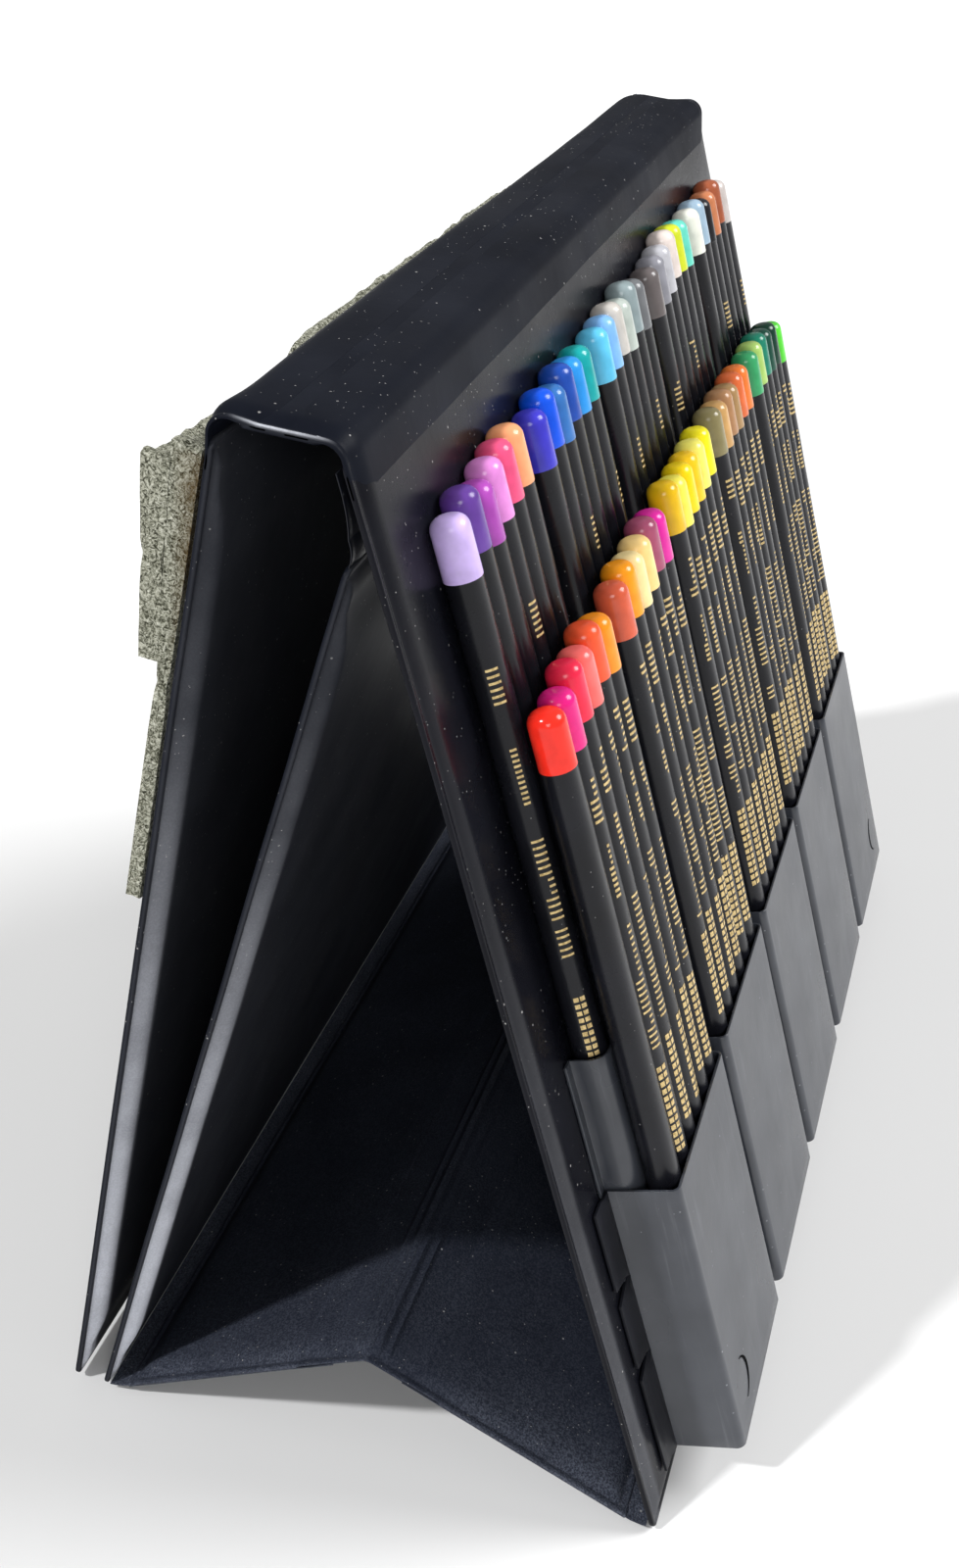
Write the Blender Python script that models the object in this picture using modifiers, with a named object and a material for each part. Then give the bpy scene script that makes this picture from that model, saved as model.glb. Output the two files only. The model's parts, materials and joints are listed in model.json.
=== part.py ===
"""Easel pencil case: a wrap-around case of board sealed in vinyl, folded open as an easel.

Metres, +Z up, X along the case's width, the pencils facing -Y. Every panel is built in a frame of its
own: it hangs down local -Z from its hinge line, and local Y is its thickness. The front panel stands on
its lower edge. The spine turns on the front panel, the cover on the spine, the prop on the front
panel's back, and the two halves of the base on the feet of the front panel and of the prop.
"""

import math

import bmesh
import bpy
from mathutils import Matrix, Vector

# Panels
case_width = 0.286
panel_height = 0.243
cover_height = 0.2400
spine_depth = 0.0213
board_thickness = 0.0020
vinyl_thickness = 0.0005
vinyl_fit = 0.00012
weld_width = 0.0014
seam_width = 0.0044
hinge_setback = 0.0025
board_inset = 0.0003
corner_radius = 0.0022
seam_corner_radius = 0.0010

# Easel stance
feet_spread = 0.1205
prop_hinge_drop = 0.0185
prop_shortfall = 0.0003
foot_pivot_rise = 0.0020
leaf_clearance = 0.0003
base_slack = 0.00655
base_centre_setback = 0.0088
spine_tilt = math.radians(5.6)
cover_splay = math.radians(5.00922)

# Hinge webs and the prop's attachment strip
web_thickness = 0.0008
web_clearance = 0.0003
strip_top_drop = 0.0046
strip_end_gap = 0.0026

# Pencils
pencil_diameter = 0.0073
pencil_pitch = 0.00725
pencil_length = 0.1805
pencil_cone_length = 0.0210
lead_diameter = 0.0014
dome_height = 0.0026
pencils_per_section = 6
section_count = 5
section_pitch = 0.0512

# Pocket trays
sheet_thickness = 0.0006
sheet_fit = 0.00015
pencil_clearance = 0.00025
pocket_floor_clearance = 0.0003
rear_pocket_top = 0.1330
front_pocket_top = 0.1650
front_pocket_bottom = 0.2360
rear_pencil_top = 0.0150
rear_corner_radius = 0.0034
front_corner_radius = 0.0016
flange_width = 0.0028
rivet_radius = 0.0055
rivet_height = 0.0006
rivet_edge_distance = 0.0085
rivet_bottom_distance = 0.0110

# Foam on the cover
foam_inset = 0.0025
foam_top_drop = 0.0060
foam_block_top_drop = 0.0104
foam_sheet_length = 0.0958
foam_block_length = 0.0391
foam_sheet_thickness = 0.0029
foam_sheet_top_thickness = 0.0056
foam_block_thickness = 0.0033
foam_block_top_thickness = 0.0052
foam_edge_radius = 0.0010
foam_gap = 0.0003

# How much lower each pencil stands than the tallest of its row, near end first
pencil_drop = 0.0060
rear_drop_shares = (
    (1.00, 0.62, 0.90, 0.62, 0.48, 0.40),
    (0.77, 0.47, 0.72, 0.37, 0.52, 0.48),
    (0.57, 0.47, 0.32, 0.52, 0.18, 0.42),
    (0.62, 0.45, 0.33, 0.02, 0.08, 0.18),
    (0.28, 0.17, 0.40, 0.35, 0.10, 0.38),
)
front_drop_shares = (
    (0.78, 0.73, 0.35, 0.48, 0.17, 0.45),
    (0.38, 0.15, 0.33, 0.22, 0.00, 0.17),
    (0.02, 0.27, 0.18, 0.18, 0.10, 0.00),
    (0.05, 0.17, 0.05, 0.20, 0.08, 0.13),
    (0.28, 0.20, 0.15, 0.32, 0.37, 0.68),
)

# Sizes that follow from those above
half_board = board_thickness / 2
half_weld = vinyl_fit / 2 + vinyl_thickness
half_panel = half_board + vinyl_fit + vinyl_thickness
leaf_offset = 2 * half_panel + leaf_clearance
pencil_radius = pencil_diameter / 2
front_reach = panel_height - foot_pivot_rise - prop_hinge_drop
prop_reach = front_reach - prop_shortfall
base_half_length = feet_spread / 2 + base_slack
rear_row_depth = half_panel + sheet_fit + pencil_radius
rear_plate_inner = rear_row_depth + pencil_radius + pencil_clearance
rear_plate_outer = rear_plate_inner + sheet_thickness
front_row_depth = rear_plate_outer + sheet_fit + pencil_radius
front_plate_inner = front_row_depth + pencil_radius + pencil_clearance
front_plate_outer = front_plate_inner + sheet_thickness
row_width = pencil_pitch * (pencils_per_section - 1) + pencil_diameter
rear_pocket_inner_width = row_width + 2 * pencil_clearance
rear_pocket_width = rear_pocket_inner_width + 2 * sheet_thickness
front_pocket_inner_width = rear_pocket_width + 2 * sheet_fit
front_pocket_width = front_pocket_inner_width + 2 * sheet_thickness
rear_floor_drop = rear_pencil_top + pencil_length + pocket_floor_clearance
front_floor_drop = front_pocket_bottom - sheet_thickness
front_pencil_top = front_floor_drop - pocket_floor_clearance - pencil_length
facets_round = 10
web_facets = 6
corner_facets = 2


def stance():
    """The leans of the front panel and the prop, and the base's rise, from the lengths of the linkage."""
    prop_line = math.hypot(prop_reach, leaf_offset)
    along = (front_reach**2 - prop_line**2 + feet_spread**2) / (2 * feet_spread)
    height = math.sqrt(front_reach**2 - along**2)
    front = math.atan2(along, height)
    line_lean = math.atan2(feet_spread - along, height)
    prop = line_lean + math.asin(leaf_offset / prop_line)
    base = math.acos(feet_spread / 2 / base_half_length)
    return front, prop, base


front_lean, prop_lean, base_rise = stance()
cover_lean = prop_lean - cover_splay
folded_angle = math.asin(2 * leaf_offset / (front_reach - base_half_length)) + math.radians(0.25)


def foot_to_floor():
    """How far the prop's lower edge lies past its foot pivot, so that both feet stand level."""
    level = foot_pivot_rise * math.cos(front_lean) - (leaf_offset - half_weld) * math.sin(front_lean)
    return (level + (leaf_offset - half_weld) * math.sin(prop_lean)) / math.cos(prop_lean)


prop_length = prop_reach + foot_to_floor()


def clear_scene():
    for old in list(bpy.data.objects):
        bpy.data.objects.remove(old, do_unlink=True)


def new_collection(name):
    made = bpy.data.collections.new(name)
    bpy.context.scene.collection.children.link(made)
    return made


def new_material(name, colour, roughness, metallic=0.0):
    made = bpy.data.materials.new(name)
    made.use_nodes = True
    made.diffuse_color = (*colour, 1.0)
    shader = made.node_tree.nodes["Principled BSDF"]
    shader.inputs["Base Color"].default_value = (*colour, 1.0)
    shader.inputs["Roughness"].default_value = roughness
    shader.inputs["Metallic"].default_value = metallic
    return made


def joint_frame(name, parent, place, angle):
    """An empty on a joint's axis, placed in its parent's frame and turned about X."""
    frame = bpy.data.objects.new(name, None)
    frame.empty_display_size = hinge_setback
    frame.location = place
    frame.rotation_euler = (angle, 0.0, 0.0)
    frame.parent = parent
    assembly.objects.link(frame)
    return frame


def add_piece(name, mesh, frame, material, place=(0.0, 0.0, 0.0), turn=(0.0, 0.0, 0.0)):
    piece = bpy.data.objects.new(name, mesh)
    piece.location = place
    piece.rotation_euler = turn
    piece.parent = frame
    mesh.materials.clear()
    mesh.materials.append(material)
    assembly.objects.link(piece)
    return piece


def mesh_from(shape, name, smooth_angle=math.radians(35)):
    mesh = bpy.data.meshes.new(name)
    bmesh.ops.recalc_face_normals(shape, faces=shape.faces)
    shape.to_mesh(mesh)
    shape.free()
    mesh.shade_smooth()
    mesh.set_sharp_from_angle(angle=smooth_angle)
    return mesh


def sharp_corners(shape, axis):
    """The edges of a block that run along one axis."""
    found = []
    for edge in shape.edges:
        run = edge.verts[0].co - edge.verts[1].co
        if abs(run[axis]) > max(abs(run[(axis + 1) % 3]), abs(run[(axis + 2) % 3])):
            found.append(edge)
    return found


def block(width, thickness, height, middle):
    """A cuboid from a cube primitive, its width on X, its thickness on Y and its height on Z."""
    shape = bmesh.new()
    size = Matrix.Diagonal((width, thickness, height, 1.0))
    bmesh.ops.create_cube(shape, size=1.0, matrix=Matrix.Translation(middle) @ size)
    return shape


def board(name, width, top, bottom):
    """A panel's board, its corners rounded, from one end below the hinge line to the other."""
    inset = weld_width + board_inset
    height = bottom - top - 2 * inset - 2 * seam_inner
    middle = Vector((0.0, 0.0, -(top + bottom) / 2))
    shape = block(width - 2 * inset - 2 * seam_inner, board_thickness, height, middle)
    bmesh.ops.bevel(
        shape,
        geom=sharp_corners(shape, 1),
        offset=corner_radius,
        segments=corner_facets,
        profile=0.5,
        affect="EDGES",
    )
    return mesh_from(shape, name)


# The board ends part of the way up the seam's slope, where the vinyl has risen clear of it.
seam_rise_shares = ((0.0, 0.0), (0.30, 0.16), (0.65, 0.72), (1.0, 1.0))
seam_inner = seam_width * 0.86


def rounded_ring(shape, width, height, radius, depth):
    """The points of a rectangle with rounded corners, in a plane across Y, as new vertices."""
    found = []
    for quarter, (side, end) in enumerate(((1, 1), (-1, 1), (-1, -1), (1, -1))):
        for step in range(corner_facets + 1):
            angle = math.pi / 2 * (quarter + step / corner_facets)
            across = side * (width / 2 - radius) + radius * math.cos(angle)
            up = end * (height / 2 - radius) + radius * math.sin(angle)
            found.append(shape.verts.new((across, depth, up)))
    return found


def seam_skin(name, width, top, bottom, side):
    """One vinyl skin of a panel: a flat weld all round, a seam that slopes up, and a flat over the board.

    side is +1 for the skin on local +Y and -1 for the skin on local -Y.
    """
    shape = bmesh.new()
    height = bottom - top
    rise = half_board + vinyl_fit / 2
    rings = [rounded_ring(shape, width, height, corner_radius, side * vinyl_fit / 2)]
    for width_share, rise_share in seam_rise_shares:
        inset = 2 * (weld_width + seam_width * width_share)
        depth = side * (vinyl_fit / 2 + rise * rise_share)
        rings.append(rounded_ring(shape, width - inset, height - inset, seam_corner_radius, depth))
    for outer, inner in zip(rings, rings[1:]):
        bmesh.ops.bridge_loops(shape, edges=closed_edges(shape, outer) + closed_edges(shape, inner))
    shape.faces.new(rings[-1])
    bmesh.ops.translate(shape, vec=Vector((0.0, 0.0, -(top + bottom) / 2)), verts=list(shape.verts))
    bmesh.ops.recalc_face_normals(shape, faces=list(shape.faces))
    flat = max(shape.faces, key=lambda face: face.calc_area())
    if flat.normal.y * side < 0:
        bmesh.ops.reverse_faces(shape, faces=list(shape.faces))
    mesh = bpy.data.meshes.new(name)
    shape.to_mesh(mesh)
    shape.free()
    mesh.shade_smooth()
    return mesh


def closed_edges(shape, ring):
    """The edges round a closed ring of vertices, made where they are missing."""
    found = []
    for first, second in zip(ring, ring[1:] + ring[:1]):
        found.append(shape.edges.get((first, second)) or shape.edges.new((first, second)))
    return found


def add_panel(frame, name, skins, width, top, bottom):
    """A board between two welded vinyl skins. skins names the skin on local -Y, then the one on +Y."""
    add_piece(f"{name}_board", board(f"{name}_board", width, top, bottom), frame, card)
    for side, skin in zip((-1, 1), skins):
        title = f"{name}_{skin}_vinyl"
        piece = add_piece(title, seam_skin(title, width, top, bottom, side), frame, vinyl)
        thick = piece.modifiers.new("vinyl", "SOLIDIFY")
        thick.thickness = vinyl_thickness
        thick.offset = 1.0
        thick.use_even_offset = True


def bend(start, control, end, count):
    """Points along a smooth bend in the Y-Z plane."""
    found = []
    for step in range(count + 1):
        share = step / count
        first = start.lerp(control, share)
        second = control.lerp(end, share)
        found.append(first.lerp(second, share))
    return found


def extruded_sheet(name, points, half_width, thickness, offset=0.0):
    """A sheet that follows points in the Y-Z plane, extruded along X and given its thickness."""
    shape = bmesh.new()
    line = [shape.verts.new((-half_width, point.y, point.z)) for point in points]
    edges = [shape.edges.new(pair) for pair in zip(line, line[1:])]
    grown = bmesh.ops.extrude_edge_only(shape, edges=edges)["geom"]
    moved = [item for item in grown if isinstance(item, bmesh.types.BMVert)]
    bmesh.ops.translate(shape, vec=Vector((2 * half_width, 0.0, 0.0)), verts=moved)
    mesh = mesh_from(shape, name)
    return mesh


def add_web(name, frame, points, width, thickness=web_thickness):
    """A flexible hinge web between two panels."""
    piece = add_piece(name, extruded_sheet(name, points, width / 2, thickness), frame, vinyl)
    thick = piece.modifiers.new("web", "SOLIDIFY")
    thick.thickness = thickness
    thick.offset = 0.0
    return piece


def along(angle, distance):
    """A point in the Y-Z plane, reached by going down a panel turned by this angle from the frame."""
    return Vector((0.0, math.sin(angle) * distance, -math.cos(angle) * distance))


def add_front(frame):
    add_panel(frame, "front", ("face", "back"), case_width, hinge_setback, panel_height)
    back = half_panel + web_clearance + web_thickness / 2
    strip = [
        Vector((0.0, back, -strip_top_drop)),
        Vector((0.0, back, -(strip_top_drop + prop_hinge_drop) / 2)),
        Vector((0.0, leaf_offset, -prop_hinge_drop + strip_end_gap)),
    ]
    add_web("prop_attachment_strip", frame, bend(*strip, web_facets), case_width - 2 * weld_width)


def add_hinge_webs(front, spine, prop, base_front):
    """The folds of vinyl that join the panels, each between the welds of the two panels it joins."""
    reach = hinge_setback - web_clearance
    turn = math.pi / 2 + spine_tilt + front_lean
    points = bend(along(0.0, reach), Vector(), along(turn, reach), web_facets)
    add_web("spine_front_web", front, points, case_width)
    turn = cover_lean - math.pi / 2 - spine_tilt
    hinge = Vector((0.0, 0.0, -spine_depth))
    points = bend(hinge - along(0.0, reach), hinge, hinge + along(turn, reach), web_facets)
    add_web("spine_rear_web", spine, points, case_width)
    turn = prop_lean + front_lean
    hinge = Vector((0.0, leaf_offset, -prop_hinge_drop))
    upper = Vector((0.0, 0.0, strip_end_gap - web_clearance))
    points = bend(hinge + upper, hinge, hinge + along(turn, reach), web_facets)
    add_web("prop_top_web", front, points, case_width - 2 * weld_width)
    turn = math.pi / 2 + base_rise + front_lean
    hinge = Vector((0.0, leaf_offset, -(panel_height - foot_pivot_rise)))
    beside = half_weld + web_clearance + web_thickness / 2
    start = Vector((0.0, beside, -(panel_height - weld_width)))
    points = bend(start, hinge, hinge + along(turn, reach), web_facets)
    add_web("front_foot_web", front, points, case_width)
    turn = -(math.pi / 2 + base_rise + prop_lean)
    hinge = Vector((0.0, -leaf_offset, -prop_reach))
    start = Vector((0.0, -beside, -(prop_length - weld_width)))
    points = bend(start, hinge, hinge + along(turn, reach), web_facets)
    add_web("prop_foot_web", prop, points, case_width)
    add_centre_web(base_front)


def add_centre_web(frame):
    """The wide fold at the middle of the base, between the ends of the base's two halves."""
    reach = base_centre_setback - web_clearance
    fold = Vector((0.0, 0.0, -base_half_length))
    near = fold - along(0.0, reach)
    far = fold + along(-2 * base_rise, reach)
    add_web("base_centre_web", frame, bend(near, fold, far, 2 * web_facets), case_width)


def add_pocket(name, frame, shape_sizes, top, floor, flange_end):
    """A formed pocket: flanges on the panel, side walls, a face with rounded corners, and a floor."""
    outer_width, foot, face, radius = shape_sizes
    half = outer_width / 2 - sheet_thickness / 2
    level = face - sheet_thickness / 2
    base = foot + sheet_thickness / 2
    outline = [Vector((-half, -base))]
    if flange_end:
        outline.insert(0, Vector((-half - flange_width, -base)))
    for step in range(corner_facets * 2 + 1):
        angle = math.pi / 2 * step / (corner_facets * 2)
        across = -half + radius * (1 - math.cos(angle))
        outline.append(Vector((across, -(level - radius * (1 - math.sin(angle))))))
    outline += [Vector((-point.x, point.y)) for point in reversed(outline)]
    shape = bmesh.new()
    levels = [-top, -floor] + ([-flange_end] if flange_end else [])
    rings = [[shape.verts.new((p.x, p.y, level)) for p in outline] for level in levels]
    last = len(outline) - 1
    for row, (upper, lower) in enumerate(zip(rings, rings[1:])):
        for item in range(last):
            if row == 1 and 0 < item < last - 1:
                continue
            shape.faces.new((upper[item], lower[item], lower[item + 1], upper[item + 1]))
    first = 1 if flange_end else 0
    shape.faces.new(rings[1][first : len(outline) - first])
    loose = [vert for vert in shape.verts if not vert.link_faces]
    bmesh.ops.delete(shape, geom=loose, context="VERTS")
    mesh = mesh_from(shape, name, math.radians(50))
    piece = add_piece(name, mesh, frame, sheet)
    thick = piece.modifiers.new("sheet", "SOLIDIFY")
    thick.thickness = sheet_thickness
    thick.offset = 0.0
    thick.use_even_offset = True
    return piece


def section_middle(section):
    return (section - (section_count - 1) / 2) * section_pitch


def add_trays(frame):
    rear_sizes = (rear_pocket_width, half_panel + sheet_fit, rear_plate_outer, rear_corner_radius)
    foot = half_panel + 2 * sheet_fit + sheet_thickness
    front_sizes = (front_pocket_width, foot, front_plate_outer, front_corner_radius)
    for section in range(section_count):
        rear = add_pocket(
            f"rear_pocket_{section + 1}",
            frame,
            rear_sizes,
            rear_pocket_top,
            rear_floor_drop + sheet_thickness / 2,
            front_pocket_bottom,
        )
        front = add_pocket(
            f"front_pocket_{section + 1}",
            frame,
            front_sizes,
            front_pocket_top,
            front_floor_drop + sheet_thickness / 2,
            None,
        )
        rear.location.x = section_middle(section)
        front.location.x = section_middle(section)


def add_rivets(frame):
    """A low stud head on the lower outer corner of the first and the last pocket."""
    for name, side in (("rivet_left", -1), ("rivet_right", 1)):
        profile = [
            (0.0, rivet_height),
            (rivet_radius * 0.7, rivet_height),
            (rivet_radius * 0.92, rivet_height * 0.8),
            (rivet_radius, rivet_height * 0.3),
            (rivet_radius, 0.0),
            (0.0, 0.0),
        ]
        mesh = turned_mesh(name, profile, facets_round * 2)
        edge = section_middle(section_count - 1) + front_pocket_width / 2
        place = (
            side * (edge - rivet_edge_distance),
            -(front_plate_outer + sheet_fit),
            -(front_pocket_bottom - rivet_bottom_distance),
        )
        add_piece(name, mesh, frame, sheet, place, (math.pi / 2, 0.0, 0.0))


def turned_mesh(name, profile, steps):
    """A mesh turned about Z by a Screw modifier from radius and height pairs, listed down the outer side."""
    line = bpy.data.meshes.new(name)
    edges = [(item, item + 1) for item in range(len(profile) - 1)]
    line.from_pydata([(radius, 0.0, height) for radius, height in profile], edges, [])
    guide = bpy.data.objects.new(name + "_profile", line)
    cutters.objects.link(guide)
    screw = guide.modifiers.new("turn", "SCREW")
    screw.steps = steps
    screw.render_steps = steps
    screw.use_merge_vertices = True
    screw.merge_threshold = 0.00001
    screw.use_smooth_shade = True
    graph = bpy.context.evaluated_depsgraph_get()
    mesh = bpy.data.meshes.new_from_object(guide.evaluated_get(graph))
    bpy.data.objects.remove(guide, do_unlink=True)
    mesh.name = name
    return mesh


def pencil_mesh(length):
    """A round pencil standing on its sharpened point, with a domed dipped end."""
    shoulder = length - dome_height
    profile = [
        (0.0, length),
        (pencil_radius * 0.60, length - dome_height * 0.14),
        (pencil_radius * 0.92, length - dome_height * 0.52),
        (pencil_radius, shoulder),
        (pencil_radius, pencil_cone_length),
        (lead_diameter / 2, 0.0),
        (0.0, 0.0),
    ]
    return turned_mesh("pencil", profile, facets_round)


def add_pencils(name, frame, depth, floor_drop, shares):
    """Six pencils side by side, joined where their sides meet, with the first at the near end."""
    row = new_collection(f"{name}_others")
    place_z = -(floor_drop - pocket_floor_clearance)
    bundle = None
    for item, share in enumerate(shares):
        across = (item - (pencils_per_section - 1) / 2) * pencil_pitch
        mesh = pencil_mesh(pencil_length - share * pencil_drop)
        if bundle is None:
            holder = joint_frame(f"{name}_slide", frame, (0.0, -depth, place_z), 0.0)
            bundle = add_piece(name, mesh, holder, lacquer, (across, 0.0, 0.0))
            continue
        other = bpy.data.objects.new(f"{name}_{item + 1}", mesh)
        other.location = (across, 0.0, 0.0)
        other.parent = holder
        other.hide_render = True
        other.display_type = "WIRE"
        row.objects.link(other)
    join = bundle.modifiers.new("row", "BOOLEAN")
    join.operation = "UNION"
    join.solver = "EXACT"
    join.operand_type = "COLLECTION"
    join.collection = row
    row.hide_render = True
    return holder


def add_pencil_rows(frame):
    for section in range(section_count):
        for tier, depth, floor_drop, shares in (
            ("rear", rear_row_depth, rear_floor_drop, rear_drop_shares),
            ("front", front_row_depth, front_floor_drop, front_drop_shares),
        ):
            name = f"{tier}_pencils_{section + 1}"
            holder = add_pencils(name, frame, depth, floor_drop, shares[section])
            holder.location.x = section_middle(section)


def foam_slab(name, width, profile):
    """A slab of foam: a profile in the Y-Z plane, extruded along X, its edges softened."""
    shape = bmesh.new()
    outline = [shape.verts.new((-width / 2, y, z)) for y, z in profile]
    face = shape.faces.new(outline)
    grown = bmesh.ops.extrude_face_region(shape, geom=[face])["geom"]
    moved = [item for item in grown if isinstance(item, bmesh.types.BMVert)]
    bmesh.ops.translate(shape, vec=Vector((width, 0.0, 0.0)), verts=moved)
    mesh = mesh_from(shape, name)
    return mesh


def add_foam(frame):
    """A thin foam sheet on the cover's inner face, and a shorter, thicker block on the sheet's top end."""
    inner = half_panel + foam_gap
    width = case_width - 2 * foam_inset
    top = -foam_top_drop
    block_top = -foam_block_top_drop
    knee = block_top - foam_block_length
    sheet_end = top - foam_sheet_length
    thin = inner + foam_sheet_thickness
    thick = inner + foam_sheet_top_thickness
    behind = thin + (thick - thin) * (block_top - knee) / (top - knee)
    sheet_profile = [(inner, top), (inner, sheet_end), (thin, sheet_end), (thin, knee), (thick, top)]
    block_inner = [(behind + foam_gap, block_top), (thin + foam_gap, knee)]
    block_outer = [
        (thin + foam_gap + foam_block_thickness, knee),
        (behind + foam_gap + foam_block_top_thickness, block_top),
    ]
    for name, profile in (("foam_sheet", sheet_profile), ("foam_block", block_inner + block_outer)):
        piece = add_piece(name, foam_slab(name, width, profile), frame, foam)
        soft = piece.modifiers.new("softened", "BEVEL")
        soft.width = foam_edge_radius
        soft.segments = 2


def rest_on_floor(root):
    """Moves the case so that its box stands on the origin, at the middle of its base."""
    bpy.context.view_layer.update()
    graph = bpy.context.evaluated_depsgraph_get()
    corners = []
    for piece in assembly.objects:
        if piece.type == "MESH":
            solid = piece.evaluated_get(graph)
            corners += [solid.matrix_world @ vert.co for vert in solid.data.vertices]
    low_y = min(corner.y for corner in corners)
    high_y = max(corner.y for corner in corners)
    root.location.y = -(low_y + high_y) / 2
    root.location.z = -min(corner.z for corner in corners)


def build():
    root = joint_frame("easel_case", None, (0.0, 0.0, 0.0), 0.0)
    front = joint_frame("front_frame", root, (0.0, 0.0, 0.0), -front_lean)
    spine = joint_frame("spine_hinge", front, (0.0, 0.0, 0.0), math.pi / 2 + spine_tilt + front_lean)
    to_cover = cover_lean - math.pi / 2 - spine_tilt
    cover = joint_frame("cover_hinge", spine, (0.0, 0.0, -spine_depth), to_cover)
    apex = (0.0, leaf_offset, -prop_hinge_drop)
    prop = joint_frame("prop_hinge", front, apex, prop_lean + front_lean)
    front_foot = (0.0, leaf_offset, -(panel_height - foot_pivot_rise))
    to_base = math.pi / 2 + base_rise
    base_front = joint_frame("base_front_hinge", front, front_foot, to_base + front_lean)
    prop_foot = (0.0, -leaf_offset, -prop_reach)
    base_rear = joint_frame("base_rear_hinge", prop, prop_foot, -to_base - prop_lean)
    add_front(front)
    add_trays(front)
    add_rivets(front)
    add_pencil_rows(front)
    add_panel(spine, "spine", ("inner", "outer"), case_width, hinge_setback, spine_depth - hinge_setback)
    add_panel(cover, "cover", ("outer", "inner"), case_width, hinge_setback, cover_height)
    add_foam(cover)
    add_panel(prop, "prop", ("front", "rear"), case_width, hinge_setback, prop_length)
    base_end = base_half_length - base_centre_setback
    add_panel(base_front, "base_front", ("lower", "upper"), case_width, hinge_setback, base_end)
    add_panel(base_rear, "base_rear", ("upper", "lower"), case_width, hinge_setback, base_end)
    add_hinge_webs(front, spine, prop, base_front)
    rest_on_floor(root)
    return root


clear_scene()
assembly = new_collection("easel_pencil_case")
cutters = new_collection("guides")
card = new_material("grey_board", (0.22, 0.21, 0.20), 0.9)
vinyl = new_material("black_vinyl", (0.012, 0.012, 0.015), 0.38)
sheet = new_material("black_sheet", (0.055, 0.058, 0.066), 0.45)
lacquer = new_material("black_lacquer", (0.010, 0.010, 0.012), 0.25)
foam = new_material("grey_foam", (0.30, 0.31, 0.29), 1.0)
case = build()
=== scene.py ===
"""Looks of the easel pencil case: vinyl panels with welded seams, foam, pocket trays and 60 pencils."""

import json
import math

import bmesh
import bpy
from mathutils import Matrix, Vector, noise


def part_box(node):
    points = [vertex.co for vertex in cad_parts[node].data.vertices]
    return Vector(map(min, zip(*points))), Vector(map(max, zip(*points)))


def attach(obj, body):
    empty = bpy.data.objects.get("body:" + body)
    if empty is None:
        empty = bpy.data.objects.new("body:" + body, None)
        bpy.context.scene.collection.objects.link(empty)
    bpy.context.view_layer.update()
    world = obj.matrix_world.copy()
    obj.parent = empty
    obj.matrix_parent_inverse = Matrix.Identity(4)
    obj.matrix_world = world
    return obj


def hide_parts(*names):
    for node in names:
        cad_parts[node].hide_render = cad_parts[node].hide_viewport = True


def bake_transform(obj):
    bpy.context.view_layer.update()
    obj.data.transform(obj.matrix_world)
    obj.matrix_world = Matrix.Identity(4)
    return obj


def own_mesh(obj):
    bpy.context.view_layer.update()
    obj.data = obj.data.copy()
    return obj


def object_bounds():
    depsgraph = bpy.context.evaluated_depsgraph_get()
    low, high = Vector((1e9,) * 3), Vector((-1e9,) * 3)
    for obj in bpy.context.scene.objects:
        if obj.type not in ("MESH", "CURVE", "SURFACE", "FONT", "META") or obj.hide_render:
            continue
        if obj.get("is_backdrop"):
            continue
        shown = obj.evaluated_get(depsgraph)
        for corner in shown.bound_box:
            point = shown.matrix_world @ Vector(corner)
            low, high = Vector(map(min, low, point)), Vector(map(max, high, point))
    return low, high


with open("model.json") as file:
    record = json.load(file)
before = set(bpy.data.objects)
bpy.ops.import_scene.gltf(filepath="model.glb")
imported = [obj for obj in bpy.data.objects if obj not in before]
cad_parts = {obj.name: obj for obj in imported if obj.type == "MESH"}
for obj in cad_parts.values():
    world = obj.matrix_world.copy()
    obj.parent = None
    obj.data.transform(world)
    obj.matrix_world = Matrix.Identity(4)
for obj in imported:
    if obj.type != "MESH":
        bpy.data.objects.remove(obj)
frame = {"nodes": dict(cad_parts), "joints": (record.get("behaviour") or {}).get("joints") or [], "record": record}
cad_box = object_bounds()
nodes = frame["nodes"]
record = frame["record"]
joint_by_name = {joint["name"]: joint for joint in frame["joints"]}
mount_by_name = {mount["name"]: mount for mount in record["mounts"]}

# Sizes repeated from the part, in metres
case_width = 0.286
panel_height = 0.243
cover_height = 0.24
spine_depth = 0.0213
half_panel = 0.00162
half_weld = 0.00056
weld_width = 0.0014
hinge_setback = 0.0025
corner_radius = 0.0022
leaf_offset = 0.00354
prop_hinge_drop = 0.0185
prop_length = 0.224241
base_half_length = 0.0668
base_centre_setback = 0.0088
web_thickness = 0.0008
web_clearance = 0.0003
strip_top_drop = 0.0046
strip_end_gap = 0.0026
pencil_radius = 0.00361
pencil_pitch = 0.00725
pencil_length = 0.1805
pencil_cone_length = 0.021
lead_radius = 0.0007
dome_height = 0.0026
section_pitch = 0.0512
sheet_thickness = 0.0006
sheet_fit = 0.00015
rear_pocket_width = 0.04525
front_pocket_width = 0.04675
rear_row_depth = 0.00542
front_row_depth = 0.01372
rear_plate_outer = 0.00992
front_plate_outer = 0.01822
rear_pocket_top = 0.133
front_pocket_top = 0.165
front_pocket_bottom = 0.236
rear_floor_drop = 0.1958
front_floor_drop = 0.2354
pocket_floor_clearance = 0.0003
rear_corner_radius = 0.0034
front_corner_radius = 0.0016
flange_width = 0.0028
pencil_drop = 0.006
foam_inset = 0.0025
foam_top_drop = 0.006
foam_block_top_drop = 0.0104
foam_sheet_length = 0.0958
foam_block_length = 0.0391
foam_sheet_thickness = 0.0029
foam_sheet_top_thickness = 0.0056
foam_block_thickness = 0.0033
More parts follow.
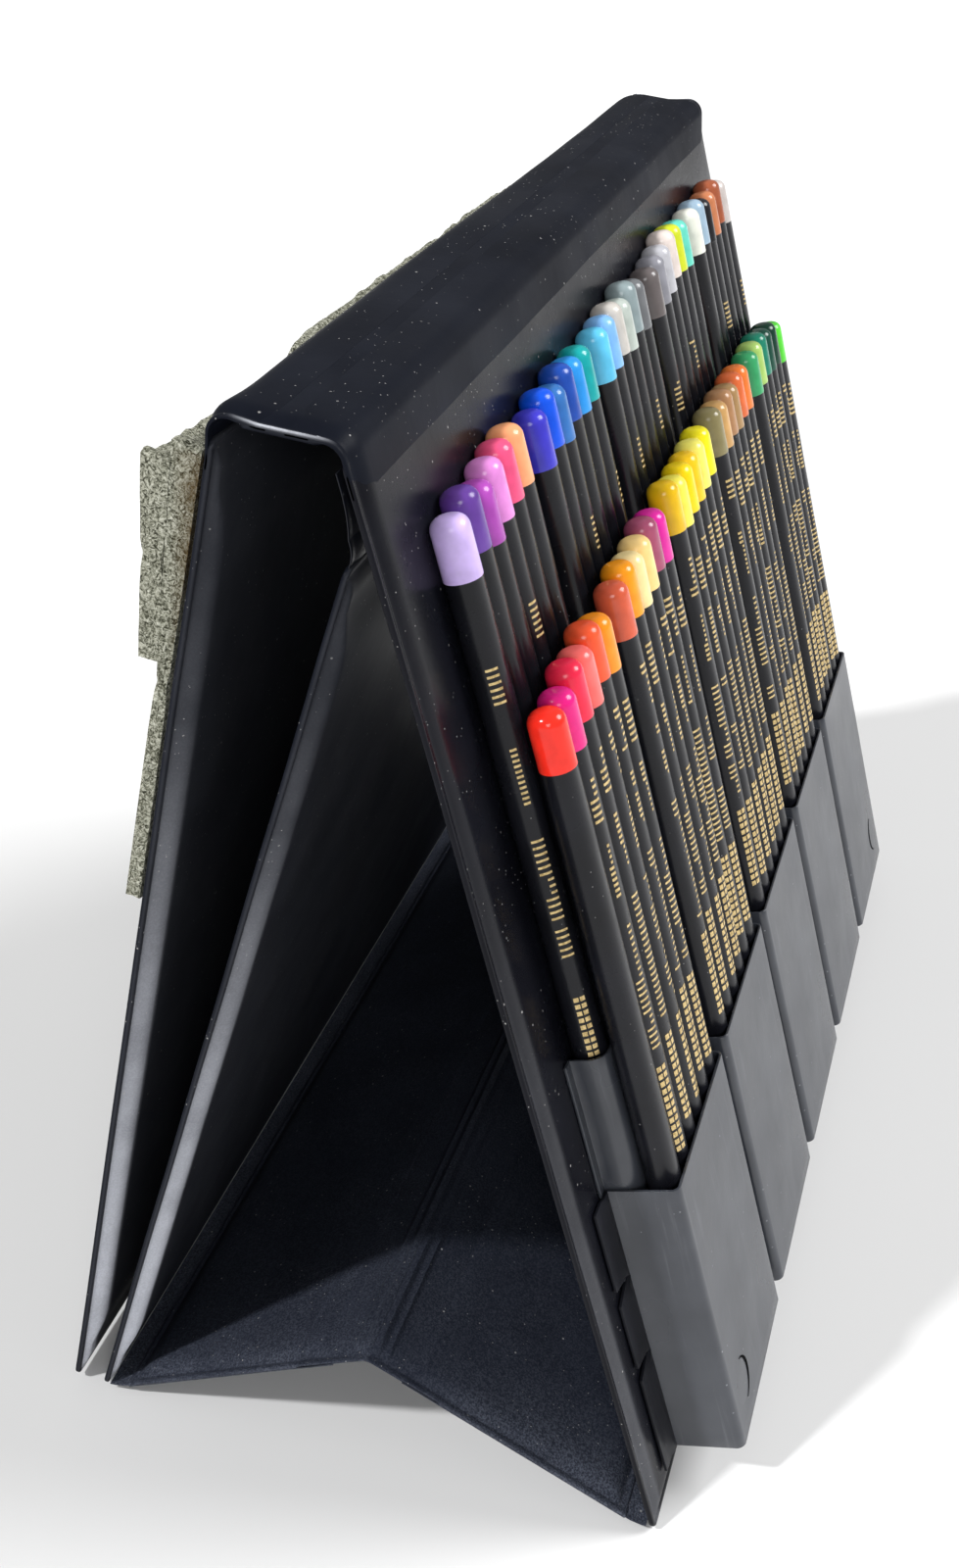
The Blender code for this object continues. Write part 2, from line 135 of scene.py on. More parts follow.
foam_block_top_thickness = 0.0052
foam_gap = 0.0003

rear_drop_shares = (
    (1.0, 0.62, 0.9, 0.62, 0.48, 0.4),
    (0.77, 0.47, 0.72, 0.37, 0.52, 0.48),
    (0.57, 0.47, 0.32, 0.52, 0.18, 0.42),
    (0.62, 0.45, 0.33, 0.02, 0.08, 0.18),
    (0.28, 0.17, 0.4, 0.35, 0.1, 0.38),
)
front_drop_shares = (
    (0.78, 0.73, 0.35, 0.48, 0.17, 0.45),
    (0.38, 0.15, 0.33, 0.22, 0.0, 0.17),
    (0.02, 0.27, 0.18, 0.18, 0.1, 0.0),
    (0.05, 0.17, 0.05, 0.2, 0.08, 0.13),
    (0.28, 0.2, 0.15, 0.32, 0.37, 0.68),
)

# Colours of the dipped ends, near end first, as 8-bit screen values
rear_colours = (
    ((208, 184, 242), (100, 62, 150), (170, 72, 175), (225, 140, 215), (235, 85, 130), (250, 170, 120)),
    ((62, 58, 195), (15, 85, 225), (55, 115, 185), (30, 75, 170), (45, 150, 230), (20, 165, 165)),
    ((95, 195, 235), (130, 185, 240), (200, 195, 188), (185, 195, 188), (140, 155, 158), (110, 112, 115)),
    ((105, 98, 98), (140, 140, 148), (190, 190, 196), (225, 212, 205), (212, 224, 48), (105, 215, 195)),
    ((240, 240, 228), (160, 185, 205), (30, 30, 34), (200, 125, 85), (165, 90, 60), (200, 192, 188)),
)
front_colours = (
    ((240, 45, 30), (225, 30, 130), (240, 40, 75), (250, 110, 105), (240, 90, 50), (250, 150, 30)),
    ((215, 95, 65), (255, 160, 25), (250, 225, 160), (255, 215, 140), (165, 80, 110), (225, 40, 160)),
    ((235, 190, 20), (255, 240, 90), (250, 215, 10), (255, 205, 30), (250, 240, 110), (250, 235, 30)),
    ((140, 130, 90), (205, 160, 100), (175, 130, 90), (170, 135, 90), (225, 110, 60), (235, 125, 55)),
    ((60, 165, 105), (170, 205, 110), (30, 130, 105), (20, 75, 60), (16, 60, 45), (90, 215, 60)),
)

# How far a skin stands off its panel's mid-plane, by distance from the welded edge
seam_profile = (
    (0.0, 0.00026), (0.00012, 0.00046), (0.00035, 0.00056), (0.00075, 0.00058), (0.00115, 0.00054),
    (0.0015, 0.00038), (0.0019, 0.00044), (0.0025, 0.00074), (0.0033, 0.00108), (0.0043, 0.0014),
    (0.0053, 0.00158), (0.0064, 0.00163), (0.009, 0.00165),
)
# The same for the loose skins that face into the tent and stand up steeply beside their weld
deep_profile = (
    (0.0, 0.00026), (0.00012, 0.00046), (0.00035, 0.00056), (0.00115, 0.00054), (0.0015, 0.0004),
    (0.0018, 0.0009), (0.0023, 0.002), (0.003, 0.0029), (0.004, 0.0033), (0.0055, 0.0034), (0.009, 0.0034),
)
# The most that a loose skin may stand up, by distance from the panel's upper or lower weld
deep_end_profile = seam_profile + ((0.018, 0.0034),)
# The same for an end that runs on under a fold, with no seam
plain_profile = (
    (0.0, 0.0006), (0.0015, 0.0009), (0.003, 0.00145), (0.0045, 0.0016), (0.006, 0.00165),
)
full_rise = seam_profile[-1][1]
panel_spacing = 0.0035
pillow_height = 0.00012
ripple_height = 0.0001
ripple_length = 0.03
rim_wave_height = 0.0003
rim_wave_length = 0.045
rim_wave_reach = 0.006
pillow_reach = rim_wave_reach * 4
fade_start = 0.0065
fade_reach = 0.008


def panel_frame(place, angle):
    """A panel's own frame: it hangs down local -Z from its hinge line, and local Y is its thickness."""
    return Matrix.Translation(Vector(place)) @ Matrix.Rotation(angle, 4, "X")


def joint_place(name):
    return Vector(joint_by_name[name]["pos_m"])


def mount_angle(name, side):
    """The turn about X that brings local Y, or -Y where side is -1, onto a mount's axis."""
    axis = mount_by_name[name]["axis"]
    return math.atan2(side * axis[2], side * axis[1])


slide = joint_by_name["rear_row_1_slide"]["axis"]
front_lean = math.atan2(slide[1], slide[2])
feet_apart = joint_place("base_rear_hinge").y - joint_place("base_front_hinge").y
base_rise = math.acos(feet_apart / 2 / base_half_length)
front_at = panel_frame(joint_place("spine_hinge"), -front_lean)
spine_at = panel_frame(joint_place("spine_hinge"), mount_angle("spine_face", 1))
cover_at = panel_frame(joint_place("cover_hinge"), mount_angle("cover_face", -1))
prop_at = panel_frame(joint_place("prop_hinge"), mount_angle("prop_back_face", 1))
base_front_at = panel_frame(joint_place("base_front_hinge"), math.pi / 2 + base_rise)
base_rear_at = panel_frame(joint_place("base_rear_hinge"), -math.pi / 2 - base_rise)


def smooth(value):
    """0 below 0, 1 above 1, and a smooth turn between."""
    value = min(max(value, 0.0), 1.0)
    return value * value * (3 - 2 * value)


def linear(colour):
    """An 8-bit screen colour as the shader's linear colour."""
    found = []
    for part in colour:
        share = part / 255
        found.append(share / 12.92 if share <= 0.04045 else ((share + 0.055) / 1.055) ** 2.4)
    return (*found, 1.0)


def wave(point, length, seed):
    """Smooth noise between about -1 and 1, with features of the given length."""
    place = Vector(point) / length
    return noise.noise(place + Vector((seed * 17.31, seed * 5.77, seed * 11.13)))


def growth(value, start, reach):
    """0 up to start, 1 from start + reach on, and a smooth turn between."""
    return smooth((value - start) / reach)


# Materials

dust_colour = (0.45, 0.44, 0.43, 1.0)


class Nodes:
    """Short ways to add and join the nodes of one material."""

    def __init__(self, name):
        self.material = bpy.data.materials.new(name)
        self.material.use_nodes = True
        self.tree = self.material.node_tree
        self.shader = self.tree.nodes["Principled BSDF"]
        self.output = self.tree.nodes["Material Output"]
        self.place = self.add("ShaderNodeTexCoord").outputs["Object"]

    def feed(self, socket, value):
        """Joins an input socket to another node's output, or sets its value."""
        if isinstance(value, bpy.types.NodeSocket):
            self.tree.links.new(value, socket)
        else:
            socket.default_value = value

    def add(self, kind, sockets=(), **settings):
        node = self.tree.nodes.new(kind)
        for key, value in settings.items():
            setattr(node, key, value)
        for key, value in dict(sockets).items():
            self.feed(node.inputs[key], value)
        return node

    def attribute(self, name):
        return self.add("ShaderNodeAttribute", attribute_name=name).outputs["Fac"]

    def noise(self, scale, detail=3.0, rough=0.5, stretch=None, twist=0.0):
        place = self.place
        if stretch:
            place = self.add("ShaderNodeMapping", {"Vector": place, "Scale": stretch}).outputs["Vector"]
        values = {"Scale": scale, "Detail": detail, "Roughness": rough, "Distortion": twist, "Vector": place}
        return self.add("ShaderNodeTexNoise", values).outputs["Fac"]

    def ramp(self, source, *stops):
        node = self.add("ShaderNodeValToRGB", {"Fac": source})
        ramp = node.color_ramp
        while len(ramp.elements) < len(stops):
            ramp.elements.new(0.5)
        for element, (place, colour) in zip(ramp.elements, stops):
            element.position = place
            element.color = (*colour, 1.0)[:4]
        return node.outputs["Color"]

    def spread(self, source, low, high, start=0.0, end=1.0):
        values = {"Value": source, "From Min": start, "From Max": end, "To Min": low, "To Max": high}
        return self.add("ShaderNodeMapRange", values).outputs["Result"]

    def uneven(self, scale, detail, low, high, rough=0.5):
        """A value that drifts between low and high over the surface."""
        return self.spread(self.noise(scale, detail, rough), low, high, 0.3, 0.7)

    def mix(self, factor, first, second):
        return self.add("ShaderNodeMix", {0: factor, 6: first, 7: second}, data_type="RGBA").outputs[2]

    def maths(self, operation, first, second):
        return self.add("ShaderNodeMath", {0: first, 1: second}, operation=operation).outputs[0]

    def times(self, first, second):
        return self.maths("MULTIPLY", first, second)

    def specks(self, scale, size, share_scale):
        """A mask of tiny specks scattered one to a cell, left out where a slower noise is low."""
        cells = self.add("ShaderNodeTexVoronoi", {"Scale": scale, "Vector": self.place})
        dots = self.spread(cells.outputs["Distance"], 1.0, 0.0, size * 0.6, size)
        return self.times(dots, self.spread(self.noise(share_scale, 2.0), 0.0, 1.0, 0.42, 0.6))

    def finish(self, colour, rough, gloss=0.5, layers=(), metallic=0.0):
        """The material. layers are bumps as (height, distance in metres, strength), coarsest first."""
        inputs = self.shader.inputs
        self.feed(inputs["Base Color"], colour)
        self.feed(inputs["Roughness"], rough)
        self.feed(inputs["Specular IOR Level"], gloss)
        self.feed(inputs["Metallic"], metallic)
        values = {}
        for height, distance, strength in layers:
            values.update({"Height": height, "Distance": distance, "Strength": strength})
            values["Normal"] = self.add("ShaderNodeBump", values).outputs["Normal"]
            self.feed(inputs["Normal"], values["Normal"])
        return self.material


def vinyl_material(name, dark, light, rough, dust, pale_colour, speckle, gloss=0.1):
    """Black vinyl. The wear attribute pales it, in fine specks where speckle is near 1: painted light, and on the
    base partly dust.
    """
    made = Nodes(name)
    tone = made.ramp(made.noise(38.0, 4.0), (0.3, dark), (0.75, light))
    dusty = made.maths("MAXIMUM", made.specks(260.0, 0.075, 25.0), made.specks(640.0, 0.1, 60.0))
    grain = made.spread(made.noise(2300.0, 3.0, 0.7), 1.0 - speckle, 1.0, 0.42, 0.62)
    # The attribute pales the vinyl: painted light on the panels and folds, partly dust on the base
    paled = made.times(made.attribute("dust_and_painted_light"), made.times(grain, made.uneven(45.0, 4.0, 0.55, 1.0, 0.6)))
    colour = made.mix(made.times(dusty, dust), made.mix(paled, tone, pale_colour), dust_colour)
    smudges = made.uneven(22.0, 5.0, rough * 0.85, rough * 1.2, 0.6)
    fine = made.noise(2600.0, 2.0)
    layers = ((made.noise(60.0), 0.0003, 0.3), (made.noise(320.0), 0.00005, 0.5), (fine, 0.00001, 0.6))
    return made.finish(colour, smudges, gloss, layers)


def grained_material(name, grain, low, high, rough, distance, strength, metallic=0.0):
    """Board, wood or worn foil, where one grain sets the tone, the roughness and the surface."""
    made = Nodes(name)
    fibres = made.noise(*grain)
    layers = ((fibres, distance, strength),)
    return made.finish(made.ramp(fibres, low, high), made.spread(fibres, *rough), 0.5, layers, metallic)


def foam_material():
    """Open-cell foam: small curled cell walls, with the pits between them darkened as painted shade."""
    made = Nodes("grey_green_foam")
    worms = made.noise(1050.0, 3.0, 0.62, twist=1.6)
    fine = made.noise(2600.0, 2.0, 0.6)
    height = made.maths("ADD", made.times(worms, 0.74), made.times(fine, 0.26))
    # Dark at the low points of the cell pattern: painted shade in the pits
    shades = ((0.38, (50, 50, 40)), (0.46, (112, 113, 98)), (0.54, (168, 168, 152)), (0.64, (204, 204, 190)))
    tone = made.ramp(height, *[(place, linear(shade)) for place, shade in shades])
    patchy = made.times(made.attribute("stain"), made.spread(made.noise(240.0), 0.55, 1.0, 0.35, 0.6))
    stained = made.mix(patchy, tone, linear((84, 62, 26)))
    return made.finish(stained, 1.0, 0.12, ((made.noise(260.0), 0.0005, 0.5), (height, 0.0011, 0.9)))


def tray_material():
    made = Nodes("satin_black_sheet")
    tone = made.ramp(made.noise(55.0, 4.0), (0.3, linear((47, 50, 57))), (0.75, linear((66, 69, 76))))
    marks = made.spread(made.noise(500.0, 3.0, 0.6, (1.0, 1.0, 0.06)), 0.0, 0.16, 0.6, 0.8)
    spots = made.maths("MAXIMUM", marks, made.specks(300.0, 0.075, 30.0))
    colour = made.mix(spots, tone, linear((150, 152, 158)))
    layers = ((made.noise(90.0), 0.00025, 0.35), (made.noise(1400.0, 2.0), 0.00002, 0.5))
    return made.finish(colour, made.uneven(35.0, 4.0, 0.23, 0.36), 0.58, layers)


def flange_material():
    """The tray's thin flange, where the black of the panel under it takes the light away."""
    made = Nodes("dark_black_sheet")
    tone = made.ramp(made.noise(70.0, 4.0), (0.3, linear((20, 21, 26))), (0.75, linear((34, 35, 42))))
    return made.finish(tone, made.uneven(35.0, 4.0, 0.34, 0.5), 0.2, ((made.noise(90.0), 0.00025, 0.35),))


def painted_shadow_material():
    """Painted shadow: the dull black of the crescent beside each stud."""
    made = Nodes("painted_shadow_black")
    tone = made.ramp(made.noise(900.0, 2.0), (0.3, (0.0018, 0.0018, 0.002)), (0.7, (0.0032, 0.0032, 0.0036)))
    return made.finish(tone, 0.95, 0.05)


def lacquer_material():
    made = Nodes("gloss_black_lacquer")
    tone = made.ramp(made.noise(70.0), (0.3, (0.005, 0.0052, 0.0068)), (0.75, (0.0095, 0.01, 0.0145)))
    colour = made.mix(made.times(made.specks(420.0, 0.07, 40.0), 0.6), tone, (0.4, 0.4, 0.39, 1.0))
    brushed = made.noise(500.0, 2.0, 0.5, (1.0, 1.0, 0.15))
    return made.finish(colour, made.uneven(120.0, 4.0, 0.2, 0.32), 0.22, ((brushed, 0.00005, 0.35),))


def cap_material(name, colour):
    """Dipped gloss paint: a little darker where it runs thin, with a faint orange-peel surface."""
    made = Nodes(name)
    base = linear(colour)[:3]
    deep = [part * 0.8 for part in base]
    pale = [min(part * 1.04 + 0.002, 1.0) for part in base]
    tone = made.ramp(made.noise(260.0), (0.25, deep), (0.7, pale))
    layers = ((made.noise(420.0, 2.0), 0.00008, 0.4),)
    return made.finish(tone, made.uneven(380.0, 3.0, 0.15, 0.26), 0.38, layers)


# Pale colour of the painted sheen, glints and fill light on the black vinyl
painted_sheen_colour = (0.68, 0.7, 0.77, 1.0)
# Pale colour of the base's dust, which partly stands for painted light on the base
base_dust_and_light_colour = (0.113, 0.125, 0.16, 1.0)
vinyl = vinyl_material(
    "black_vinyl_smooth", (0.0042, 0.0052, 0.0092), (0.0095, 0.0112, 0.0175), 0.42, 0.75, painted_sheen_colour, 0.15, 0.05
)
face_vinyl = vinyl_material(
    "black_vinyl_face", (0.0036, 0.0038, 0.006), (0.008, 0.0085, 0.0125), 0.26, 0.75, painted_sheen_colour, 0.15
)
web_vinyl = vinyl_material(
    "black_vinyl_fold", (0.006, 0.0068, 0.0105), (0.014, 0.0155, 0.0215), 0.34, 0.6, painted_sheen_colour, 0.15, 0.3
)
base_vinyl = vinyl_material(
    "black_vinyl_base", (0.0085, 0.0105, 0.018), (0.0155, 0.019, 0.031), 0.32, 0.8, base_dust_and_light_colour, 0.85
)
board_grain = (420.0, 5.0, 0.65, (1.0, 1.0, 4.0))
board_low = (0.3, (0.16, 0.15, 0.135))
board_high = (0.7, (0.29, 0.275, 0.25))
card = grained_material("grey_board_fibres", board_grain, board_low, board_high, (0.82, 0.97), 0.00012, 0.7)
wood_grain = (700.0, 5.0, 0.6, (1.0, 1.0, 0.08))
wood_low = (0.3, linear((176, 120, 78)))
wood_high = (0.7, linear((224, 178, 130)))
wood = grained_material("sharpened_cedar", wood_grain, wood_low, wood_high, (0.55, 0.75), 0.00008, 0.5)
foil_low = (0.3, linear((150, 122, 66)))
foil_high = (0.58, linear((226, 200, 142)))
foil_grain = (1500.0, 4.0, 0.7)
gold = grained_material("gold_foil_print", foil_grain, foil_low, foil_high, (0.32, 0.5), 0.00002, 0.4, 0.45)
foam = foam_material()
tray = tray_material()
lacquer = lacquer_material()
dark_sheet = flange_material()
painted_shadow = painted_shadow_material()


# Mesh helpers


def add_object(name, data):
    added = bpy.data.objects.new(name, data)
    bpy.context.scene.collection.objects.link(added)
    return added


def new_piece(name, vertices, faces, materials, place=None, face_materials=None, sharp=None):
    mesh = bpy.data.meshes.new(name)
    mesh.from_pydata([tuple(vertex) for vertex in vertices], [], faces)
    for item in materials:
        mesh.materials.append(item)
    if face_materials:
        mesh.polygons.foreach_set("material_index", face_materials)
    shape = bmesh.new()
    shape.from_mesh(mesh)
    bmesh.ops.recalc_face_normals(shape, faces=shape.faces)
    shape.to_mesh(mesh)
    shape.free()
    mesh.shade_smooth()
    if sharp:
        mesh.set_sharp_from_angle(angle=sharp)
    piece = add_object(name, mesh)
    if place is not None:
        piece.matrix_world = place
    return piece


def ring_faces(count, size):
    """The faces of a closed skin over a number of rings of vertices, and of its last and first end."""
    faces = []
    for start in range(0, (count - 1) * size, size):
        for item in range(size):
            after = (item + 1) % size
            faces.append((start + item, start + after, start + size + after, start + size + item))
    faces.append(tuple(range((count - 1) * size, count * size)))
    faces.append(tuple(reversed(range(size))))
    return faces


def turned_mesh(profile, sides):
    """Vertices and faces of a turned shape, from the (radius, height) pairs of its rings."""
    vertices = []
    for radius, height in profile:
        for step in range(sides):
            angle = 2 * math.pi * step / sides
            vertices.append((radius * math.cos(angle), radius * math.sin(angle), height))
    return vertices, ring_faces(len(profile), sides)


def slab_mesh(upper, lower):
    """Vertices and faces of a closed slab between two grids of points of the same size."""
    rows = len(upper)
    columns = len(upper[0])
    count = rows * columns
    vertices = [point for row in upper + lower for point in row]
    faces = []
    for row in range(rows - 1):
        for column in range(columns - 1):
            first = row * columns + column
            ring = (first, first + 1, first + columns + 1, first + columns)
            faces.append(ring)
            faces.append(tuple(count + item for item in reversed(ring)))
    border = list(range(columns))
    border += [row * columns + columns - 1 for row in range(1, rows)]
    border += [(rows - 1) * columns + column for column in range(columns - 2, -1, -1)]
    border += [row * columns for row in range(rows - 2, 0, -1)]
    for first, second in zip(border, border[1:] + border[:1]):
        faces.append((first, first + count, second + count, second))
    return vertices, faces


def stations(length):
    """Places along one side of a panel from 0 to length, closest together near both welded edges."""
    near = [distance for distance, rise in seam_profile if distance < length / 2 - panel_spacing / 2]
    span = length - 2 * near[-1]
    count = max(2, round(span / panel_spacing))
    middle = [near[-1] + span * step / count for step in range(1, count)]
    return near + middle + [length - distance for distance in reversed(near)]


def table_value(table, value):
    if value <= table[0][0]:
        return table[0][1]
    for (low, first), (high, second) in zip(table, table[1:]):
        if value <= high:
            return first + (second - first) * (value - low) / (high - low)
    return table[-1][1]


def put_attribute(piece, name, values):
    attribute = piece.data.attributes.new(name, "FLOAT", "POINT")
    attribute.data.foreach_set("value", values)


def bezier(start, control, end, count):
    found = []
    for step in range(count + 1):
        share = step / count
        found.append(start.lerp(control, share).lerp(control.lerp(end, share), share))
    return found


def hanging(place, depth, drop):
    """A point of a panel's own frame, in the shared frame."""
    return place @ Vector((0.0, depth, -drop))


def panel_piece(
    name, body, stands_for, place, top, bottom, seed,
    plain=((), ()), deep=False, dust_and_painted_light=None, material=vinyl, flush=(), square=False,
):
    """A board sealed between two skins: a flat weld all round, a groove, a slope, then a soft flat.

    plain gives, for the skin on local -Y and the one on +Y, the ends ("top", "bottom") where the vinyl
    runs on into a fold with no seam. deep makes the skin on -Y a loose one. wear gives how much the
    vinyl pales, from (side, distance from the case's open ends, share of the way down): painted sheen,
    glints and fill light, and on the base partly its dust. flush lists the sides that meet another panel
    when the case is folded, which never stand proud. square leaves the corners unrounded.
    """
    height = bottom - top
    dust_and_painted_light_values = []

    def skin_point(side, along_x, along_z):
        x = along_x - case_width / 2
        z = -top - along_z
        edge_x = min(along_x, case_width - along_x)
        true_z = min(along_z, height - along_z)
        runs = [case_width]
        seams = [case_width]
        for end, reach in (("top", along_z), ("bottom", height - along_z)):
            (runs if end in plain[side > 0] else seams).append(reach)
        run_z = min(runs)
        edge_z = min(seams)
        distance = min(edge_x, edge_z)
        if not square and edge_x < corner_radius and true_z < corner_radius:
            over_x = corner_radius - edge_x
            over_z = corner_radius - true_z
            share = max(over_x, over_z) / math.hypot(over_x, over_z)
            sign_x = 1 if x > 0 else -1
            sign_z = 1 if along_z < height / 2 else -1
            x = sign_x * (case_width / 2 - corner_radius + over_x * share)
            z = -top - height / 2 + sign_z * (height / 2 - corner_radius + over_z * share)
            if edge_z < seam_profile[-1][0]:
                distance = corner_radius - max(over_x, over_z)
        loose = deep and side < 0
        rise = table_value(deep_profile if loose else seam_profile, distance)
        if run_z < case_width:
            rise = min(rise, table_value(plain_profile, run_z))
        if loose:
            rise = min(rise, table_value(deep_end_profile, edge_z))
        fade = growth(run_z, fade_start, fade_reach)
        inside = smooth(distance / rim_wave_reach)
        swell = ripple_height * inside * wave((x, z, side * ripple_length), ripple_length, seed)
        if side in flush:
            swell -= ripple_height * inside
        else:
            swell += pillow_height * smooth(distance / pillow_reach)
        rim = rim_wave_height * (1 - inside) * wave((x, z, 0.0), rim_wave_length, seed + 3)
        dust_and_painted_light_values.append(dust_and_painted_light(side, edge_x, along_z / height) if dust_and_painted_light else 0.0)
        return (x, side * (rise + swell * fade) + rim * fade, z)

    across = stations(case_width)
    down = stations(height)
    grids = [[[skin_point(side, x, z) for x in across] for z in down] for side in (1, -1)]
    vertices, faces = slab_mesh(*grids)
    piece = new_piece(name, vertices, faces, [material], place)
    put_attribute(piece, "dust_and_painted_light", dust_and_painted_light_values)
    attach(piece, body)
    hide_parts(*stands_for)
    return piece


def sheet_along(
    name, path, outer, inner, outward, material, seed,
    width=case_width, ridges=(), sink=0.0, lift=((0.0, 0.0),), dust_and_painted_light=None,
):
    """A sheet of vinyl that follows a path of points in the Y-Z plane.

    outer and inner are how far its faces stand off the path, outer as the values at the path's start
    and end, and outward is the side that outer is on. The outer face keeps the welded seam's profile at
    both ends of the case. ridges lists raised weld lines as (distance from the path's end, width,
    height). sink lowers the outer face at the path's ends. lift is a table of how far the middle of the
    fold stands out, by place across the case, and wear gives how much the vinyl pales, from (share of the
    path, distance from the weld): painted glints on the spine's folds, and dust and painted light on the
    base's centre fold.
    """
    lengths = [0.0]
    for first, second in zip(path, path[1:]):
        lengths.append(lengths[-1] + (second - first).length)
    upper = []
    lower = []
    dust_and_painted_light_values = []
    for item, point in enumerate(path):
        along = (path[min(item + 1, len(path) - 1)] - path[max(item - 1, 0)]).normalized()
        normal = Vector((0.0, -along.z, along.y)) * outward
        run = lengths[item] / lengths[-1]
        arch = math.sin(math.pi * run)
        to_end = lengths[-1] - lengths[item]
        raised = sum(tall * math.exp(-(((to_end - place) / wide) ** 2)) for place, wide, tall in ridges)
        tuck = sink if item in (0, len(path) - 1) else 0.0
        stand_off = outer[0] + (outer[1] - outer[0]) * smooth(run)
        row_upper = []
        row_lower = []
        for along_x in stations(width):
            x = along_x - width / 2
            distance = min(along_x, width - along_x)
            share = table_value(seam_profile, distance) / full_rise
            inside = smooth(distance / rim_wave_reach)
            sway = wave((x, lengths[item], 0.0), rim_wave_length, seed + 5)
            rim = rim_wave_height * (1 - inside) * arch * sway + table_value(lift, x) * arch**4
            ripple = ripple_height * inside * arch * wave((x, point.y * 2, point.z * 2), ripple_length, seed)
            stand = stand_off * share + ripple + raised * inside - tuck
            row_upper.append(Vector((x, 0.0, 0.0)) + point + normal * (stand + rim))
            row_lower.append(Vector((x, 0.0, 0.0)) + point - normal * (inner * share - rim))
            dust_and_painted_light_values.append(dust_and_painted_light(run, distance) if dust_and_painted_light else 0.0)
        upper.append(row_upper)
        lower.append(row_lower)
    vertices, faces = slab_mesh(upper, lower)
    piece = new_piece(name, vertices, faces, [material], sharp=math.radians(45))
    put_attribute(piece, "dust_and_painted_light", dust_and_painted_light_values + dust_and_painted_light_values)
    return piece


# Painted sheen, glints and fill light on the vinyl, and the base's dust

band_edge = 0.0004
band_start = 0.0015
band_end = 0.0042
band_fade = 0.0016
# The tent-side skins of the cover and prop: a thin painted fill light all over, and painted sheen on the steep
# strips beside their welds that grows towards the bottom
tent_painted_fill = 0.045
tent_top_painted_sheen = 0.02
tent_foot_painted_sheen = 0.93
# Painted sheen on the front panel's steep strips beside its welds, on its back and on its pencil side
back_painted_sheen = 0.35
face_painted_sheen = 0.1
# The most painted glint on the front fold's welds
front_fold_glint_most = 0.8
# Where the painted sheen and painted glints start and over how much they grow, as shares of a panel's height or of
# a fold's path
tent_run = (0.1, 0.85)
back_run = (0.1, 0.9)
face_run = (0.2, 0.8)
front_fold_run = (0.5, 0.3)
rear_fold_run = (0.12, 0.3)
# Where the painted glint lies across a weld
weld_glint_place_share = 0.55
weld_glint_width_share = 0.6
weld_glint_sharpness = 1.4
# Dust on each half of the base, partly painted light, as (everywhere, how much more at the rim, reach from the
# rim)
front_dust_and_light = (0.35, 0.65, 0.022)
rear_dust_and_light = (0.45, 0.25, 0.015)
dust_and_light_end_share = 1.2
# A paler tone on the foot folds that lifts their shade: painted light
foot_painted_light = 0.9


def band(distance):
    """1 on the steep strip beside a weld, fading to 0 on the flat."""
    risen = smooth((distance - band_start + band_edge) / band_edge)
    return risen * (1 - growth(distance, band_end, band_fade))


def weld_glint(distance):
    """1 on the middle of a weld, fading to 0 beside it: where a painted glint lies."""
    off = abs(distance - weld_width * weld_glint_place_share) / (weld_width * weld_glint_width_share)
    return smooth(weld_glint_sharpness - weld_glint_sharpness * off)


def tent_painted_sheen(side, edge, share):
    """Painted sheen on the strips that face into the tent, stronger towards the bottom, over a thin painted fill
    light.
    """
    if side > 0:
        return 0.0
    return tent_painted_fill + band(edge) * (tent_top_painted_sheen + tent_foot_painted_sheen * growth(share, *tent_run))


# Painted sheen on the front panel's steep strips beside its welds, growing down the panel
def front_painted_sheen(side, edge, share):
    if side < 0:
        return face_painted_sheen * band(edge) * growth(share, *face_run)
    return back_painted_sheen * band(edge) * growth(share, *back_run)


def spine_painted_glint(side, edge, share):
    """A painted glint on the weld along the open ends of the spine."""
    return weld_glint(edge) if side > 0 else 0.0


def base_front_dust_and_light(side, edge, share):
    """Dust that lies thickest along the rim of the base's front half, partly painted light and a painted rim
    glint.
    """
    everywhere, more, reach = front_dust_and_light
    return everywhere + more * (1 - smooth(edge / reach)) * smooth(dust_and_light_end_share - share)


# Dust on the rear half of the base, raised to stand for the stronger light there: partly painted light
def base_rear_dust_and_light(side, edge, share):
    everywhere, more, reach = rear_dust_and_light
    return everywhere + more * (1 - smooth(edge / reach))


# Painted glints on the spine's welds, carried on round the front and rear folds
def front_fold_painted_glint(run, distance):
    return front_fold_glint_most * weld_glint(distance) * growth(run, *front_fold_run)


def rear_fold_painted_glint(run, distance):
    return weld_glint(distance) * (1 - growth(run, *rear_fold_run))


# Panels

# How much further the skins stop short of the sagging rear fold
fold_tuck = 0.0013
base_end = base_half_length - base_centre_setback

panel_piece(
    "front_panel_skins", "front_panel", ("front_face_vinyl", "front_back_vinyl"), front_at,
    hinge_setback, panel_height, 1.0, (("top",), ()), dust_and_painted_light=front_painted_sheen, material=face_vinyl, flush=(1,),
)
panel_piece(
    "spine_skins", "spine", ("spine_inner_vinyl", "spine_outer_vinyl"), spine_at,
    hinge_setback, spine_depth - hinge_setback - fold_tuck, 2.0, ((), ("top", "bottom")), dust_and_painted_light=spine_painted_glint,
)
panel_piece(
    "cover_skins", "cover", ("cover_outer_vinyl", "cover_inner_vinyl"), cover_at,
    hinge_setback + fold_tuck, cover_height, 3.0, ((), ("top",)), True, tent_painted_sheen,
)
prop = panel_piece(
    "prop_skins", "prop", ("prop_front_vinyl", "prop_rear_vinyl"), prop_at,
    hinge_setback, prop_length, 4.0, deep=True, dust_and_painted_light=tent_painted_sheen, flush=(-1,),
)
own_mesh(prop)
